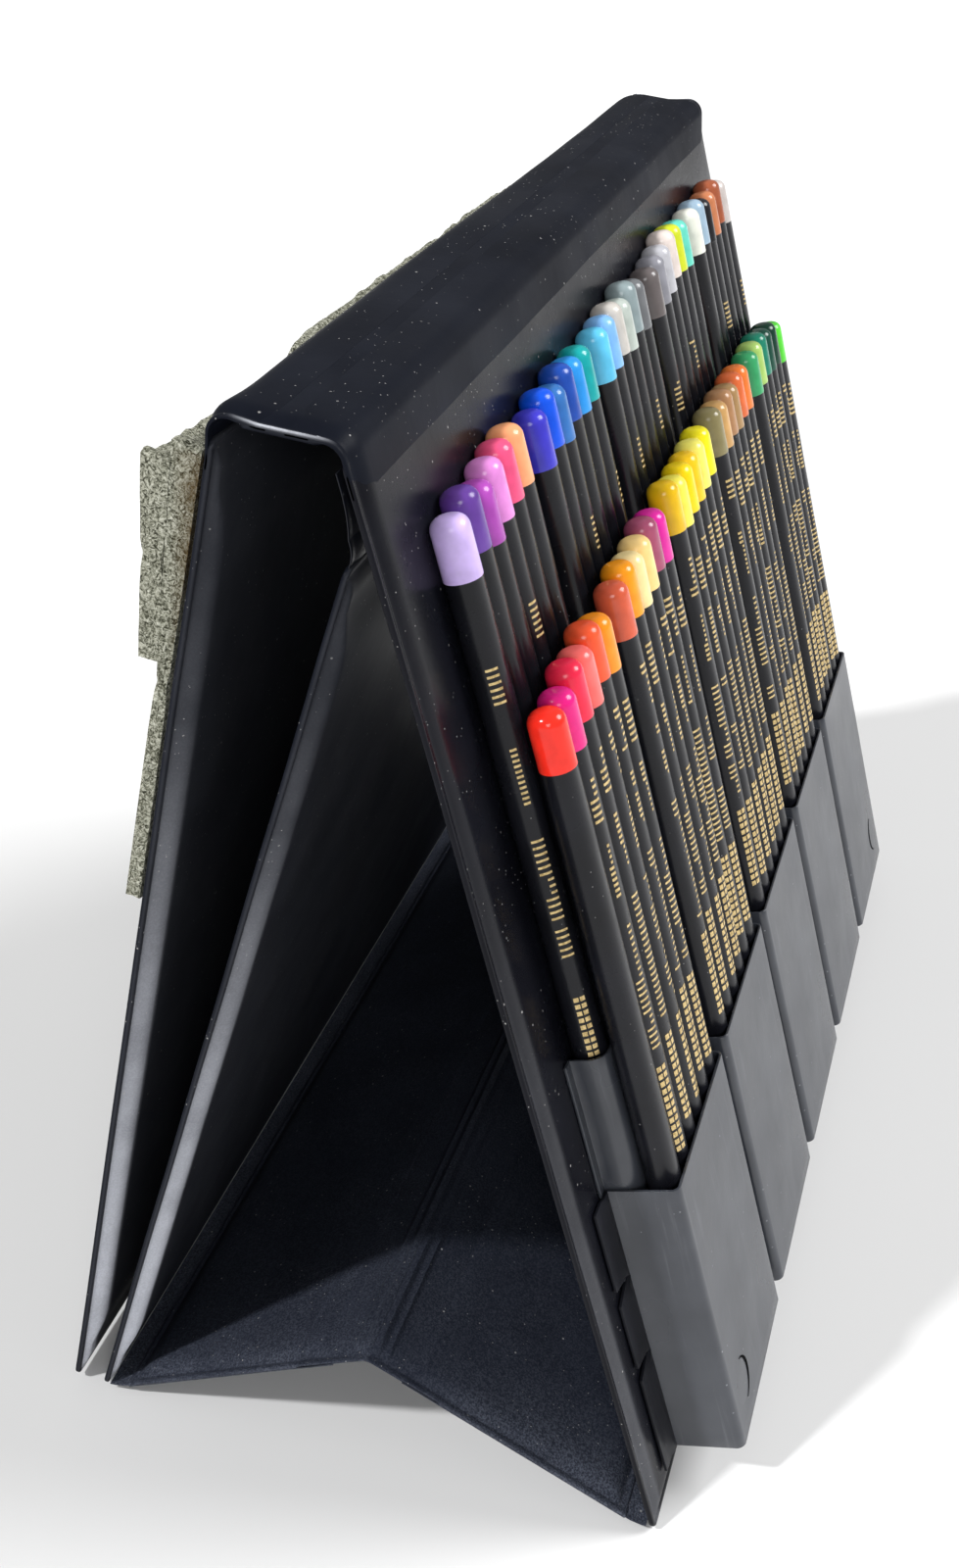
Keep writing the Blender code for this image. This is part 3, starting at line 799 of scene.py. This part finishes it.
panel_piece(
    "base_front_skins", "base_front", ("base_front_lower_vinyl", "base_front_upper_vinyl"), base_front_at,
    hinge_setback, base_end, 5.0, ((), ("bottom",)),
    dust_and_painted_light=base_front_dust_and_light, material=base_vinyl, flush=(-1, 1), square=True,
)
panel_piece(
    "base_rear_skins", "base_rear", ("base_rear_lower_vinyl", "base_rear_upper_vinyl"), base_rear_at,
    hinge_setback, base_end, 6.0, (("bottom",), ()),
    dust_and_painted_light=base_rear_dust_and_light, material=base_vinyl, flush=(-1, 1), square=True,
)

for name in nodes:
    if name.endswith("_board"):
        nodes[name].data.materials.clear()
        nodes[name].data.materials.append(card)


# Folds

fold_reach = 0.009
fold_bend = 0.0027
rear_fold_bend = 0.0036
blend_reach = 0.0034
fold_sink = 0.000006
fold_inner_share = 0.7
fold_inner = half_weld * fold_inner_share
fold_steps = 14
straight_share = 0.3
front_fold_lift = (
    (0.12, 0.0), (0.127, 0.0001), (0.132, 0.0004), (0.137, 0.0009), (0.141, 0.0012), (0.143, 0.0013),
)
rear_fold_lift = (
    (-0.143, 0.001), (-0.14, 0.0009), (-0.135, 0.00052), (-0.13, 0.00016), (-0.125, 0.0), (-0.06, -0.0001),
    (-0.03, -0.0003), (0.02, -0.00095), (0.06, -0.0014), (0.1, -0.0016), (0.143, -0.0016),
)


def corner_fold(name, node, first_at, drop, sign, second_at, bend, seed, lift, dust_and_painted_light):
    """The vinyl round a corner of the case: a straight run, a rounded corner, then a straight run.

    drop is how far down the first panel the corner lies, and sign is the way the panel runs from there.
    """
    ends = []
    for reach in (fold_reach, bend, blend_reach):
        ends.append((hanging(first_at, 0.0, drop + sign * reach), hanging(second_at, 0.0, reach)))
    (start, end), (bend_start, bend_end), blended = ends
    path = [start, start.lerp(bend_start, straight_share)]
    path += bezier(bend_start, hanging(second_at, 0.0, 0.0), bend_end, fold_steps)
    path += [bend_end.lerp(end, 1 - straight_share), end]
    outer = (full_rise, full_rise)
    piece = sheet_along(name, path, outer, fold_inner, 1, vinyl, seed, sink=fold_sink, lift=lift, dust_and_painted_light=dust_and_painted_light)
    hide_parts(node)
    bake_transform(piece)


corner_fold(
    "spine_front_fold", "spine_front_web", front_at, 0.0, 1,
    spine_at, fold_bend, 1.0, front_fold_lift, front_fold_painted_glint,
)
corner_fold(
    "spine_rear_fold", "spine_rear_web", spine_at, spine_depth, -1,
    cover_at, rear_fold_bend, 2.0, rear_fold_lift, rear_fold_painted_glint,
)

web_half = web_thickness / 2
web_faces = (web_half, web_half)
web_width = case_width - 2 * weld_width
web_steps = 8
strip_steps = 10
back = half_panel + web_clearance + web_half
beside = half_weld + web_clearance + web_half
strip_end = hanging(front_at, leaf_offset, prop_hinge_drop - strip_end_gap)
strip_bend = hanging(front_at, back, (strip_top_drop + prop_hinge_drop) / 2)
strip_path = bezier(hanging(front_at, back, strip_top_drop), strip_bend, strip_end, strip_steps)
strip = sheet_along("prop_strip", strip_path, web_faces, web_half, 1, web_vinyl, 7.0, web_width)
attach(strip, "front_panel")
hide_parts("prop_attachment_strip")


def web_fold(name, node, start, second_at, material, width, seed, dust):
    """A thin web from a point of one panel to the top of the next. The dust value pales it, which on the foot
    folds is painted light lifting their shade.
    """
    path = bezier(start, hanging(second_at, 0.0, 0.0), hanging(second_at, 0.0, hinge_setback), web_steps)
    piece = sheet_along(
        name, path, web_faces, web_half, 1, material, seed, width, dust_and_painted_light=lambda run, distance: dust
    )
    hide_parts(node)
    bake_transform(piece)


front_foot = hanging(front_at, beside, panel_height - weld_width)
prop_foot = hanging(prop_at, -beside, prop_length - weld_width)
web_fold(
    "prop_top_fold", "prop_top_web", strip_end, prop_at,
    web_vinyl, web_width, 8.0, 0.0,
)
# The foot folds are paled to lift their shade: painted light
web_fold(
    "front_foot_fold", "front_foot_web", front_foot, base_front_at,
    base_vinyl, case_width, 9.0, foot_painted_light,
)
web_fold(
    "prop_foot_fold", "prop_foot_web", prop_foot, base_rear_at,
    base_vinyl, case_width, 10.0, foot_painted_light,
)

# The fold at the middle of the base: one half on each of the base's panels, with two weld lines
centre_bend = 0.0016
centre_lap = 0.009
centre_rise = 0.0008
centre_steps = 40
centre_bend_steps = 4
centre_height_share = 0.55
centre_turn_share = 0.6
# Weld lines as (distance from the fold, width, height)
weld_lines = ((0.0011, 0.0006, 0.0005), (0.0035, 0.0006, 0.0005))


def centre_half(name, body, place, outward, seed, dust):
    start = hanging(place, 0.0, base_end - centre_lap)
    turn = hanging(place, 0.0, base_half_length - centre_bend)
    apex = hanging(place, 0.0, base_half_length)
    middle = Vector((0.0, apex.y, turn.lerp(apex, centre_height_share).z))
    path = [start.lerp(turn, step / centre_steps) for step in range(centre_steps)]
    path += bezier(turn, turn.lerp(apex, centre_turn_share), middle, centre_bend_steps)
    piece = sheet_along(
        name, path, (full_rise, centre_rise), fold_inner, outward, base_vinyl, seed,
        ridges=weld_lines, sink=fold_sink, dust_and_painted_light=lambda run, distance: dust(1, distance, 1.0),
    )
    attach(piece, body)
    return piece


# The centre fold's halves take the same dust and painted light as their halves of the base
centre_front = centre_half("base_centre_fold_front", "base_front", base_front_at, 1, 11.0, base_front_dust_and_light)
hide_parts("base_centre_web")
centre_half("base_centre_fold_rear", "base_rear", base_rear_at, -1, 12.0, base_rear_dust_and_light)


# Foam

foam_spacing = 0.0016
foam_rough_height = 0.00045
foam_rough_length = 0.003
foam_corner = 0.0012
foam_corner_share = 0.5
foam_top_reach = 0.014
foam_torn_height = 0.0009
foam_torn_length = 0.006
glue_overlap = 0.0002
stain_most = 0.9
stain_reach = 0.008
stain_width = 0.003
stain_rise = 0.002
stain_low = -0.04
# How far the torn upper edges lie below their highest line, from the near end to the far one
sheet_top_table = (
    (-0.142, 0.0), (-0.138, 0.0008), (-0.132, 0.0036), (-0.124, 0.005), (-0.095, 0.0046), (-0.09, 0.0036),
    (-0.087, 0.0012), (-0.08, 0.0004), (-0.067, 0.0013), (-0.045, 0.0015), (-0.0195, 0.0018),
    (0.008, 0.0028), (0.04, 0.003), (0.057, 0.0046), (0.095, 0.0074), (0.142, 0.009),
)
block_top_table = (
    (-0.142, 0.0), (-0.137, 0.001), (-0.13, 0.003), (-0.12, 0.0042), (-0.09, 0.0056), (0.03, 0.0064),
    (0.075, 0.0086), (0.142, 0.011),
)
foam_inner = half_panel + foam_gap
foam_top = -foam_top_drop
stain_x = -case_width / 2 + foam_inset
stain_top = foam_top - stain_rise


def foam_piece(name, node, profile, seed, top_table):
    """A cut foam slab from a closed profile in the cover's frame, its surface and edges uneven."""
    width = case_width - 2 * foam_inset
    outline = []
    for (y0, z0), (y1, z1) in zip(profile, profile[1:] + profile[:1]):
        count = max(2, round(math.hypot(y1 - y0, z1 - z0) / foam_spacing))
        for step in range(count):
            outline.append(Vector((0.0, y0 + (y1 - y0) * step / count, z0 + (z1 - z0) * step / count)))
    middle_y = sum(point.y for point in outline) / len(outline)
    middle_z = sum(point.z for point in outline) / len(outline)
    middle = Vector((0.0, middle_y, middle_z))
    highest = max(point.z for point in outline)
    inner_y = min(point.y for point in outline)
    columns = round(width / foam_spacing)
    vertices = []
    stains = []
    for column in range(columns + 1):
        x = width * (column / columns - 0.5)
        end = min(column, columns - column) * width / columns
        lowered = table_value(top_table, x)
        near = 1 - growth(x, stain_x, stain_reach)
        for point in outline:
            rough = foam_rough_height * wave((x, point.y, point.z), foam_rough_length, seed)
            top = max(0.0, 1 - (highest - point.z) / foam_top_reach)
            torn = foam_torn_height * wave((x, point.y * 3, 0.0), foam_torn_length, seed + 4)
            inward = (middle - point).normalized()
            soft = foam_corner * (1 - smooth(end / foam_corner)) * foam_corner_share
            outward = Vector() if point.y - inner_y < foam_gap else -inward * rough
            ragged = Vector((0.0, 0.0, top * (torn - lowered)))
            vertices.append(Vector((x, point.y, point.z)) + outward + ragged + inward * soft)
            beside = 1 - growth(point.y, foam_inner, stain_width)
            below = smooth((stain_top + stain_rise - point.z) / stain_rise)
            stains.append(stain_most * near * beside * (below * growth(point.z, stain_low, stain_reach)))
    faces = ring_faces(columns + 1, len(outline))
    piece = new_piece(name, vertices, faces, [foam], cover_at, sharp=math.radians(60))
    put_attribute(piece, "stain", stains)
    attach(piece, "cover")
    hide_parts(node)
    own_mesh(piece)


thin = foam_inner + foam_sheet_thickness
thick = foam_inner + foam_sheet_top_thickness
block_top = -foam_block_top_drop
knee = block_top - foam_block_length
sheet_end = foam_top - foam_sheet_length
behind = thin + (thick - thin) * (block_top - knee) / (foam_top - knee)
sheet_profile = [
    (foam_inner, foam_top),
    (foam_inner, sheet_end),
    (thin, sheet_end),
    (thin, knee),
    (thick, foam_top),
]
block_profile = [
    (behind - glue_overlap, block_top),
    (thin - glue_overlap, knee),
    (thin + foam_gap + foam_block_thickness, knee),
    (behind + foam_gap + foam_block_top_thickness, block_top),
]
foam_piece("foam_sheet_cut", "foam_sheet", sheet_profile, 1.0, sheet_top_table)
foam_piece("foam_block_cut", "foam_block", block_profile, 2.0, block_top_table)


# Pocket trays

sections = 5
tray_spacing = 0.003
arc_steps = 8
sheet_edge = 0.00012
sheet_ripple_height = 0.00006
sheet_ripple_length = 0.02
wide_flange = 0.0078
flange_step = 0.0024
flange_dip = 0.0005
# The broad outer flange, as (distance out from the wall, share of the dip)
wide_flange_table = ((wide_flange, 1), (wide_flange * 0.75, 1), (flange_step * 1.6, 1), (flange_step, 0))
flange_root = flange_step * 0.4
# Cuts in the outer flanges, as (upper end, point, lower end) by distance down the panel
flange_cuts = ((0.185, 0.187, 0.189), (0.206, 0.2076, 0.2095))
cut_depth_share = 0.94


def cut_share(drop):
    """How much of the outer flange is cut away at a height: nothing, or up to nearly all in a cut."""
    for upper, point, lower in flange_cuts:
        if upper < drop < lower:
            into = (drop - upper) / (point - upper) if drop <= point else (lower - drop) / (lower - point)
            return cut_depth_share * into
    return 0.0


def section_x(section):
    return (section - (sections - 1) / 2) * section_pitch


def pocket_piece(name, node, section, sizes, top, floor, flanged, wide_side):
    """A formed pocket of thin sheet: flanges, side walls, a face with rounded corners, and a floor.

    wide_side is -1 or 1 where the wall on that side stands on the broad outer flange of the tray.
    """
    outer_width, foot, face, radius = sizes
    half = outer_width / 2 - sheet_thickness / 2
    level = face - sheet_thickness / 2
    base = foot + sheet_thickness / 2
    wall = [(-half, base, 0.0), (-half, (base + level - radius) / 2, 0.0)]
    for step in range(arc_steps + 1):
        angle = math.pi / 2 * step / arc_steps
        wall.append((-half + radius * (1 - math.cos(angle)), level - radius * (1 - math.sin(angle)), 0.0))
    inner = half - radius
    count = max(2, round(2 * inner / tray_spacing))
    across = [(-inner + 2 * inner * step / count, level, 0.0) for step in range(1, count)]
    flanges = []
    for side in (-1, 1):
        flange = []
        if side == wide_side:
            flange += [(-half - out, base - flange_dip * dip, out) for out, dip in wide_flange_table]
            flange.append((-half - flange_root, base, flange_root))
        elif flanged:
            flange += [(-half - flange_width * share, base, 0.0) for share in (1.0, 0.75, 0.5, 0.25)]
        flanges.append(flange)
    right = [(-x, depth, -out) for x, depth, out in reversed(flanges[1] + wall)]
    outline = flanges[0] + wall + across + right
    middle = section_x(section)
    rows = max(2, round((floor - top) / tray_spacing))
    levels = [top + (floor - top) * step / rows for step in range(rows + 1)]
    if wide_side:
        marks = [drop for cut in flange_cuts for drop in cut]
        levels = [drop for drop in levels if min(abs(drop - mark) for mark in marks) > tray_spacing / 5]
        levels = sorted(levels + marks)
    vertices = []
    rings = []
    for drop in levels:
        rings.append(range(len(vertices), len(vertices) + len(outline)))
        for x, depth, out in outline:
            sway = wave((x + middle, drop, 0.0), sheet_ripple_length, section + 20.0)
            vertices.append((x + out * cut_share(drop), -(depth + sheet_ripple_height * sway), -drop))
    faces = []
    kinds = []
    for first, second in zip(rings, rings[1:]):
        for item in range(len(outline) - 1):
            faces.append((first[item], second[item], second[item + 1], first[item + 1]))
            kinds.append(1 if outline[item][2] or outline[item + 1][2] else 0)
    faces.append(tuple(rings[-1][len(flanges[0]) : len(outline) - len(flanges[1])]))
    kinds.append(0)
    place = front_at @ Matrix.Translation((middle, 0.0, 0.0))
    piece = new_piece(name, vertices, faces, [tray, dark_sheet], place, kinds)
    thick = piece.modifiers.new("sheet", "SOLIDIFY")
    thick.thickness = sheet_thickness
    thick.offset = 0.0
    thick.use_even_offset = True
    round_edges = piece.modifiers.new("edges", "BEVEL")
    round_edges.width = sheet_edge
    round_edges.segments = 2
    round_edges.limit_method = "ANGLE"
    round_edges.angle_limit = math.radians(60)
    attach(piece, "front_panel")
    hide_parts(node)


rear_sizes = (rear_pocket_width, half_panel + sheet_fit, rear_plate_outer, rear_corner_radius)
front_foot_depth = half_panel + 2 * sheet_fit + sheet_thickness
front_sizes = (front_pocket_width, front_foot_depth, front_plate_outer, front_corner_radius)
front_floor = front_floor_drop + sheet_thickness / 2
wide_sides = (-1, 0, 0, 0, 1)
for section in range(sections):
    for tier, sizes, top, floor, flanged, wide_side in (
        ("rear", rear_sizes, rear_pocket_top, front_pocket_bottom, True, 0),
        ("front", front_sizes, front_pocket_top, front_floor, False, wide_sides[section]),
    ):
        names = (f"{tier}_tray_{section + 1}", f"{tier}_pocket_{section + 1}")
        pocket_piece(*names, section, sizes, top, floor, flanged, wide_side)


# A stud at each outer lower corner: a low disc in the sheet, with a dark crescent of painted shadow round its
# inner side
stud_sides = 40
# Rings of the disc, as (share of the radius, height above the sheet)
stud_rings = ((1.0, -0.0003), (1.0, -0.00006), (0.8, 0.0), (0.5, 0.00004), (0.2, 0.00005))
# The crescent is a thin dull black slab standing just proud of the sheet: painted shadow
shadow_rise = 0.00011
shadow_sink = 0.0002
shadow_reach = math.radians(78)
shadow_steps = 24
shadow_outer_share = 1.02
shadow_width_share = 0.17
shadow_tip_share = 0.03


def stud_piece(name, node, outer_side):
    low, high = (Vector(corner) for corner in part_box(node))
    local = front_at.inverted() @ ((low + high) / 2)
    radius = (high.x - low.x) / 2
    disc, faces = turned_mesh([(radius * share, rise) for share, rise in stud_rings], stud_sides)
    vertices = [(x, -rise, z) for x, z, rise in disc]
    materials = [0] * len(faces)
    upper = []
    lower = []
    for step in range(shadow_steps + 1):
        share = 2 * step / shadow_steps - 1
        angle = shadow_reach * share
        wide = shadow_width_share * max(math.cos(share * math.pi / 2), shadow_tip_share)
        ends = [radius * shadow_outer_share, radius * (shadow_outer_share - wide)]
        points = [(-outer_side * reach * math.cos(angle), reach * math.sin(angle)) for reach in ends]
        upper.append([(x, -shadow_rise, z) for x, z in points])
        lower.append([(x, shadow_sink, z) for x, z in points])
    shadow_vertices, shadow_faces = slab_mesh(upper, lower)
    faces += [tuple(len(vertices) + item for item in face) for face in shadow_faces]
    vertices += shadow_vertices
    materials += [1] * len(shadow_faces)
    spot = front_at @ Matrix.Translation((local.x, -front_plate_outer, local.z))
    piece = new_piece(name, vertices, faces, [tray, painted_shadow], spot, materials, math.radians(50))
    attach(piece, "front_panel")
    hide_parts(node)


stud_piece("stud_left", "rivet_left", -1)
stud_piece("stud_right", "rivet_right", 1)


# Pencils

pencil_sides = 40
pencils_each = 6
dome_steps = 8
dome_power = 0.62
cap_length = 0.0115
cap_lip = 0.00007
cap_lip_start_share = 0.7
cap_start_gap = 0.0001
cap_lip_run = 0.0002
lead_length = 0.0021
lead_step = 0.0001
lead_tip_share = 0.35
lead_collar_share = 1.02
cone_end_share = 0.97
cone_end_gap = 0.0004
print_lift = 0.00004
# Foil bars down a pencil, as (start, end, bar length, spacing, height round the pencil, rows)
rear_print = (
    (0.028, 0.037, 0.0005, 0.0013, 0.0024, 1),
    (0.044, 0.057, 0.0005, 0.0011, 0.0013, 1),
    (0.063, 0.091, 0.0005, 0.0014, 0.0025, 1),
    (0.098, 0.117, 0.001, 0.0016, 0.0026, 2),
)
front_print = (
    (0.018, 0.028, 0.0006, 0.0014, 0.0024, 1),
    (0.032, 0.045, 0.0006, 0.0012, 0.0013, 1),
    (0.05, 0.08, 0.0005, 0.0014, 0.0024, 1),
    (0.083, 0.106, 0.0012, 0.0018, 0.0028, 2),
)
# Bars whose noise is under the first value are left out, and those over the second have half the height
bar_missing_under = -0.42
bar_halved_over = 0.1
row_height_share = 0.78
print_turn = math.radians(18)
print_turn_spread = math.radians(14)
print_face = math.radians(12)
first_rear_turn = math.radians(58)
first_front_turn = math.radians(-70)
roll_spread = 2.4
roll_seed = 30.0
facing_seed = 50.0
bar_seed = 40.0
bar_noise_length = 0.35


def print_bars(layout, seed):
    """The bars of one pencil's print, as (start, end, low angle, high angle) from its middle line."""
    bars = []
    for first, last, long, spacing, tall, rows in layout:
        for item in range(int((last - first) / spacing)):
            start = first + item * spacing
            uneven = wave((start * 40, seed, 0.0), bar_noise_length, bar_seed)
            if uneven < bar_missing_under and rows == 1:
                continue
            for row in range(rows):
                low = -tall / 2 + tall * row / rows
                high = low + tall / rows * (row_height_share if rows > 1 else 1.0)
                if rows == 1 and uneven > bar_halved_over:
                    low += tall * 0.5
                bars.append((start, start + long, low / pencil_radius, high / pencil_radius))
    return bars


def pencil_piece(name, place, length, colour, turn, layout, facing):
    """A lacquered round pencil on its sharpened point, its upper end dipped in paint."""
    shoulder = length - dome_height
    cap_start = length - cap_length
    cap_radius = pencil_radius + cap_lip
    # Rings from the point up, as (radius, height, material)
    profile = [
        (lead_radius * lead_tip_share, 0.0, 3),
        (lead_radius, lead_length, 3),
        (lead_radius * lead_collar_share, lead_length + lead_step, 2),
        (pencil_radius * cone_end_share, pencil_cone_length - cone_end_gap, 2),
        (pencil_radius, pencil_cone_length, 0),
        (pencil_radius, cap_start - cap_start_gap, 0),
        (pencil_radius + cap_lip * cap_lip_start_share, cap_start, 1),
        (cap_radius, cap_start + cap_lip_run, 1),
        (cap_radius, shoulder, 1),
    ]
    for step in range(1, dome_steps):
        angle = math.pi / 2 * step / dome_steps
        radius = cap_radius * math.cos(angle) ** dome_power
        profile.append((radius, shoulder + dome_height * math.sin(angle), 1))
    vertices, faces = turned_mesh([ring[:2] for ring in profile], pencil_sides)
    kinds = [kind for radius, height, kind in profile]
    materials = []
    for kind, above in zip(kinds, kinds[1:]):
        materials += [above if above == 1 else kind] * pencil_sides
    materials += [1, 3]
    # The print's middle line, turned from the side that faces away from the panel
    middle = -math.pi / 2 - facing - turn
    lifted = pencil_radius + print_lift
    for start, end, low, high in print_bars(layout, facing * 10):
        steps = max(2, math.ceil((high - low) / print_face))
        first = len(vertices)
        for step in range(steps + 1):
            angle = middle + low + (high - low) * step / steps
            for height in (length - start, length - end):
                vertices.append((lifted * math.cos(angle), lifted * math.sin(angle), height))
        for corner in range(first, first + 2 * steps, 2):
            faces.append((corner, corner + 1, corner + 3, corner + 2))
            materials.append(4)
    paint = cap_material(f"dip_{name}", colour)
    matrix = place @ Matrix.Rotation(turn, 4, "Z")
    slots = [lacquer, paint, wood, paint, gold]
    piece = new_piece(name, vertices, faces, slots, matrix, materials, math.radians(50))
    return piece


rear_looks = (rear_drop_shares, rear_colours, rear_print, first_rear_turn)
front_looks = (front_drop_shares, front_colours, front_print, first_front_turn)
for section in range(sections):
    for tier, depth, floor_drop, (shares, colours, layout, first_turn) in (
        ("rear", rear_row_depth, rear_floor_drop, rear_looks),
        ("front", front_row_depth, front_floor_drop, front_looks),
    ):
        for item in range(pencils_each):
            across = section_x(section) + (item - (pencils_each - 1) / 2) * pencil_pitch
            length = pencil_length - shares[section][item] * pencil_drop
            foot = Vector((across, -depth, -(floor_drop - pocket_floor_clearance)))
            turn = roll_spread * wave((across, depth, 0.0), 0.004, roll_seed)
            facing = print_turn + 2 * print_turn_spread * wave((across, depth, 0.0), 0.005, facing_seed)
            marks = layout
            if section == 0 and item == 0:
                facing = first_turn
            elif tier == "rear" and (item + section) % 3:
                marks = ()
            name = f"{tier}_pencil_{section * pencils_each + item + 1}"
            at = front_at @ Matrix.Translation(foot)
            piece = pencil_piece(name, at, length, colours[section][item], turn, marks, facing)
            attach(piece, f"{tier}_row_{section + 1}")
            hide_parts(f"{tier}_pencils_{section + 1}")


# Stage, lights and camera

half_floor = 3.0
floor_depth = 0.0006
floor_glow = 0.02
sky_strength = 0.28
sky_seen_strength = 1.0


def stage_material():
    """A white floor whose lit part shows as white, and which keeps the object's shadow."""
    made = Nodes("white_floor")
    tone = made.ramp(made.noise(2.0, 2.0), (0.3, (0.74, 0.74, 0.74)), (0.7, (0.77, 0.77, 0.77)))
    made.finish(tone, 0.9)
    rays = made.add("ShaderNodeLightPath").outputs
    seen = made.maths("MAXIMUM", rays["Is Camera Ray"], rays["Is Glossy Ray"])
    seen = made.maths("MAXIMUM", seen, rays["Is Transmission Ray"])
    glow = made.add("ShaderNodeEmission", {"Strength": made.times(seen, floor_glow)})
    both = made.add("ShaderNodeAddShader", {0: made.shader.outputs[0], 1: glow.outputs[0]})
    made.feed(made.output.inputs["Surface"], both.outputs[0])
    return made.material


floor_mesh = bpy.data.meshes.new("floor")
floor_corners = [(x * half_floor, y * half_floor, 0.0) for x, y in ((-1, -1), (1, -1), (1, 1), (-1, 1))]
floor_mesh.from_pydata(floor_corners, [], [(0, 1, 2, 3)])
floor_mesh.materials.append(stage_material())
floor = add_object("floor", floor_mesh)
floor.location.z = -floor_depth
floor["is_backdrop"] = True

world = bpy.data.worlds.new("soft_white")
bpy.context.scene.world = world
world.use_nodes = True
tree = world.node_tree
sky = tree.nodes["Background"]
paths = tree.nodes.new("ShaderNodeLightPath")
strength = tree.nodes.new("ShaderNodeMapRange")
strength.inputs["To Min"].default_value = sky_strength
strength.inputs["To Max"].default_value = sky_seen_strength
tree.links.new(paths.outputs["Is Camera Ray"], strength.inputs["Value"])
tree.links.new(strength.outputs["Result"], sky.inputs["Strength"])
sky.inputs["Color"].default_value = (1.0, 1.0, 1.0, 1.0)


def sun_light(name, direction, power, spread):
    """A broad studio lamp far enough off to light the whole floor evenly."""
    lamp = bpy.data.lights.new(name, "SUN")
    lamp.energy = power
    lamp.angle = math.radians(spread)
    thing = add_object(name, lamp)
    thing.rotation_euler = Vector(direction).to_track_quat("Z", "Y").to_euler()
    thing.location = Vector(direction)


sun_light("key_behind_left", (-0.464, 0.479, 0.745), 2.3, 4.0)
sun_light("front_soft", (0.45, -0.8, 0.75), 3.0, 30.0)
sun_light("near_soft", (-1.0, -0.35, 0.45), 1.0, 25.0)

camera_data = bpy.data.cameras.new("view")
camera_data.sensor_width = 36.0
camera_data.sensor_fit = "AUTO"
camera_data.lens = 43.073
camera_data.clip_start = 0.01
camera_right = Vector((0.29129, -0.95646, 0.01836))
camera_up = Vector((0.48575, 0.16442, 0.8585))
camera_back = camera_right.cross(camera_up)
camera = add_object("view", camera_data)
turned = Matrix((camera_right, camera_up, camera_back)).transposed().to_4x4()
camera.matrix_world = Matrix.Translation((-0.40515, -0.09493, 0.34002)) @ turned
bpy.context.scene.camera = camera
bpy.context.scene.view_settings.view_transform = "Standard"

bpy.context.view_layer.update()
sizes = {
    "cad": [list(corner) for corner in cad_box],
    "visual": [list(corner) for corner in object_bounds()],
}
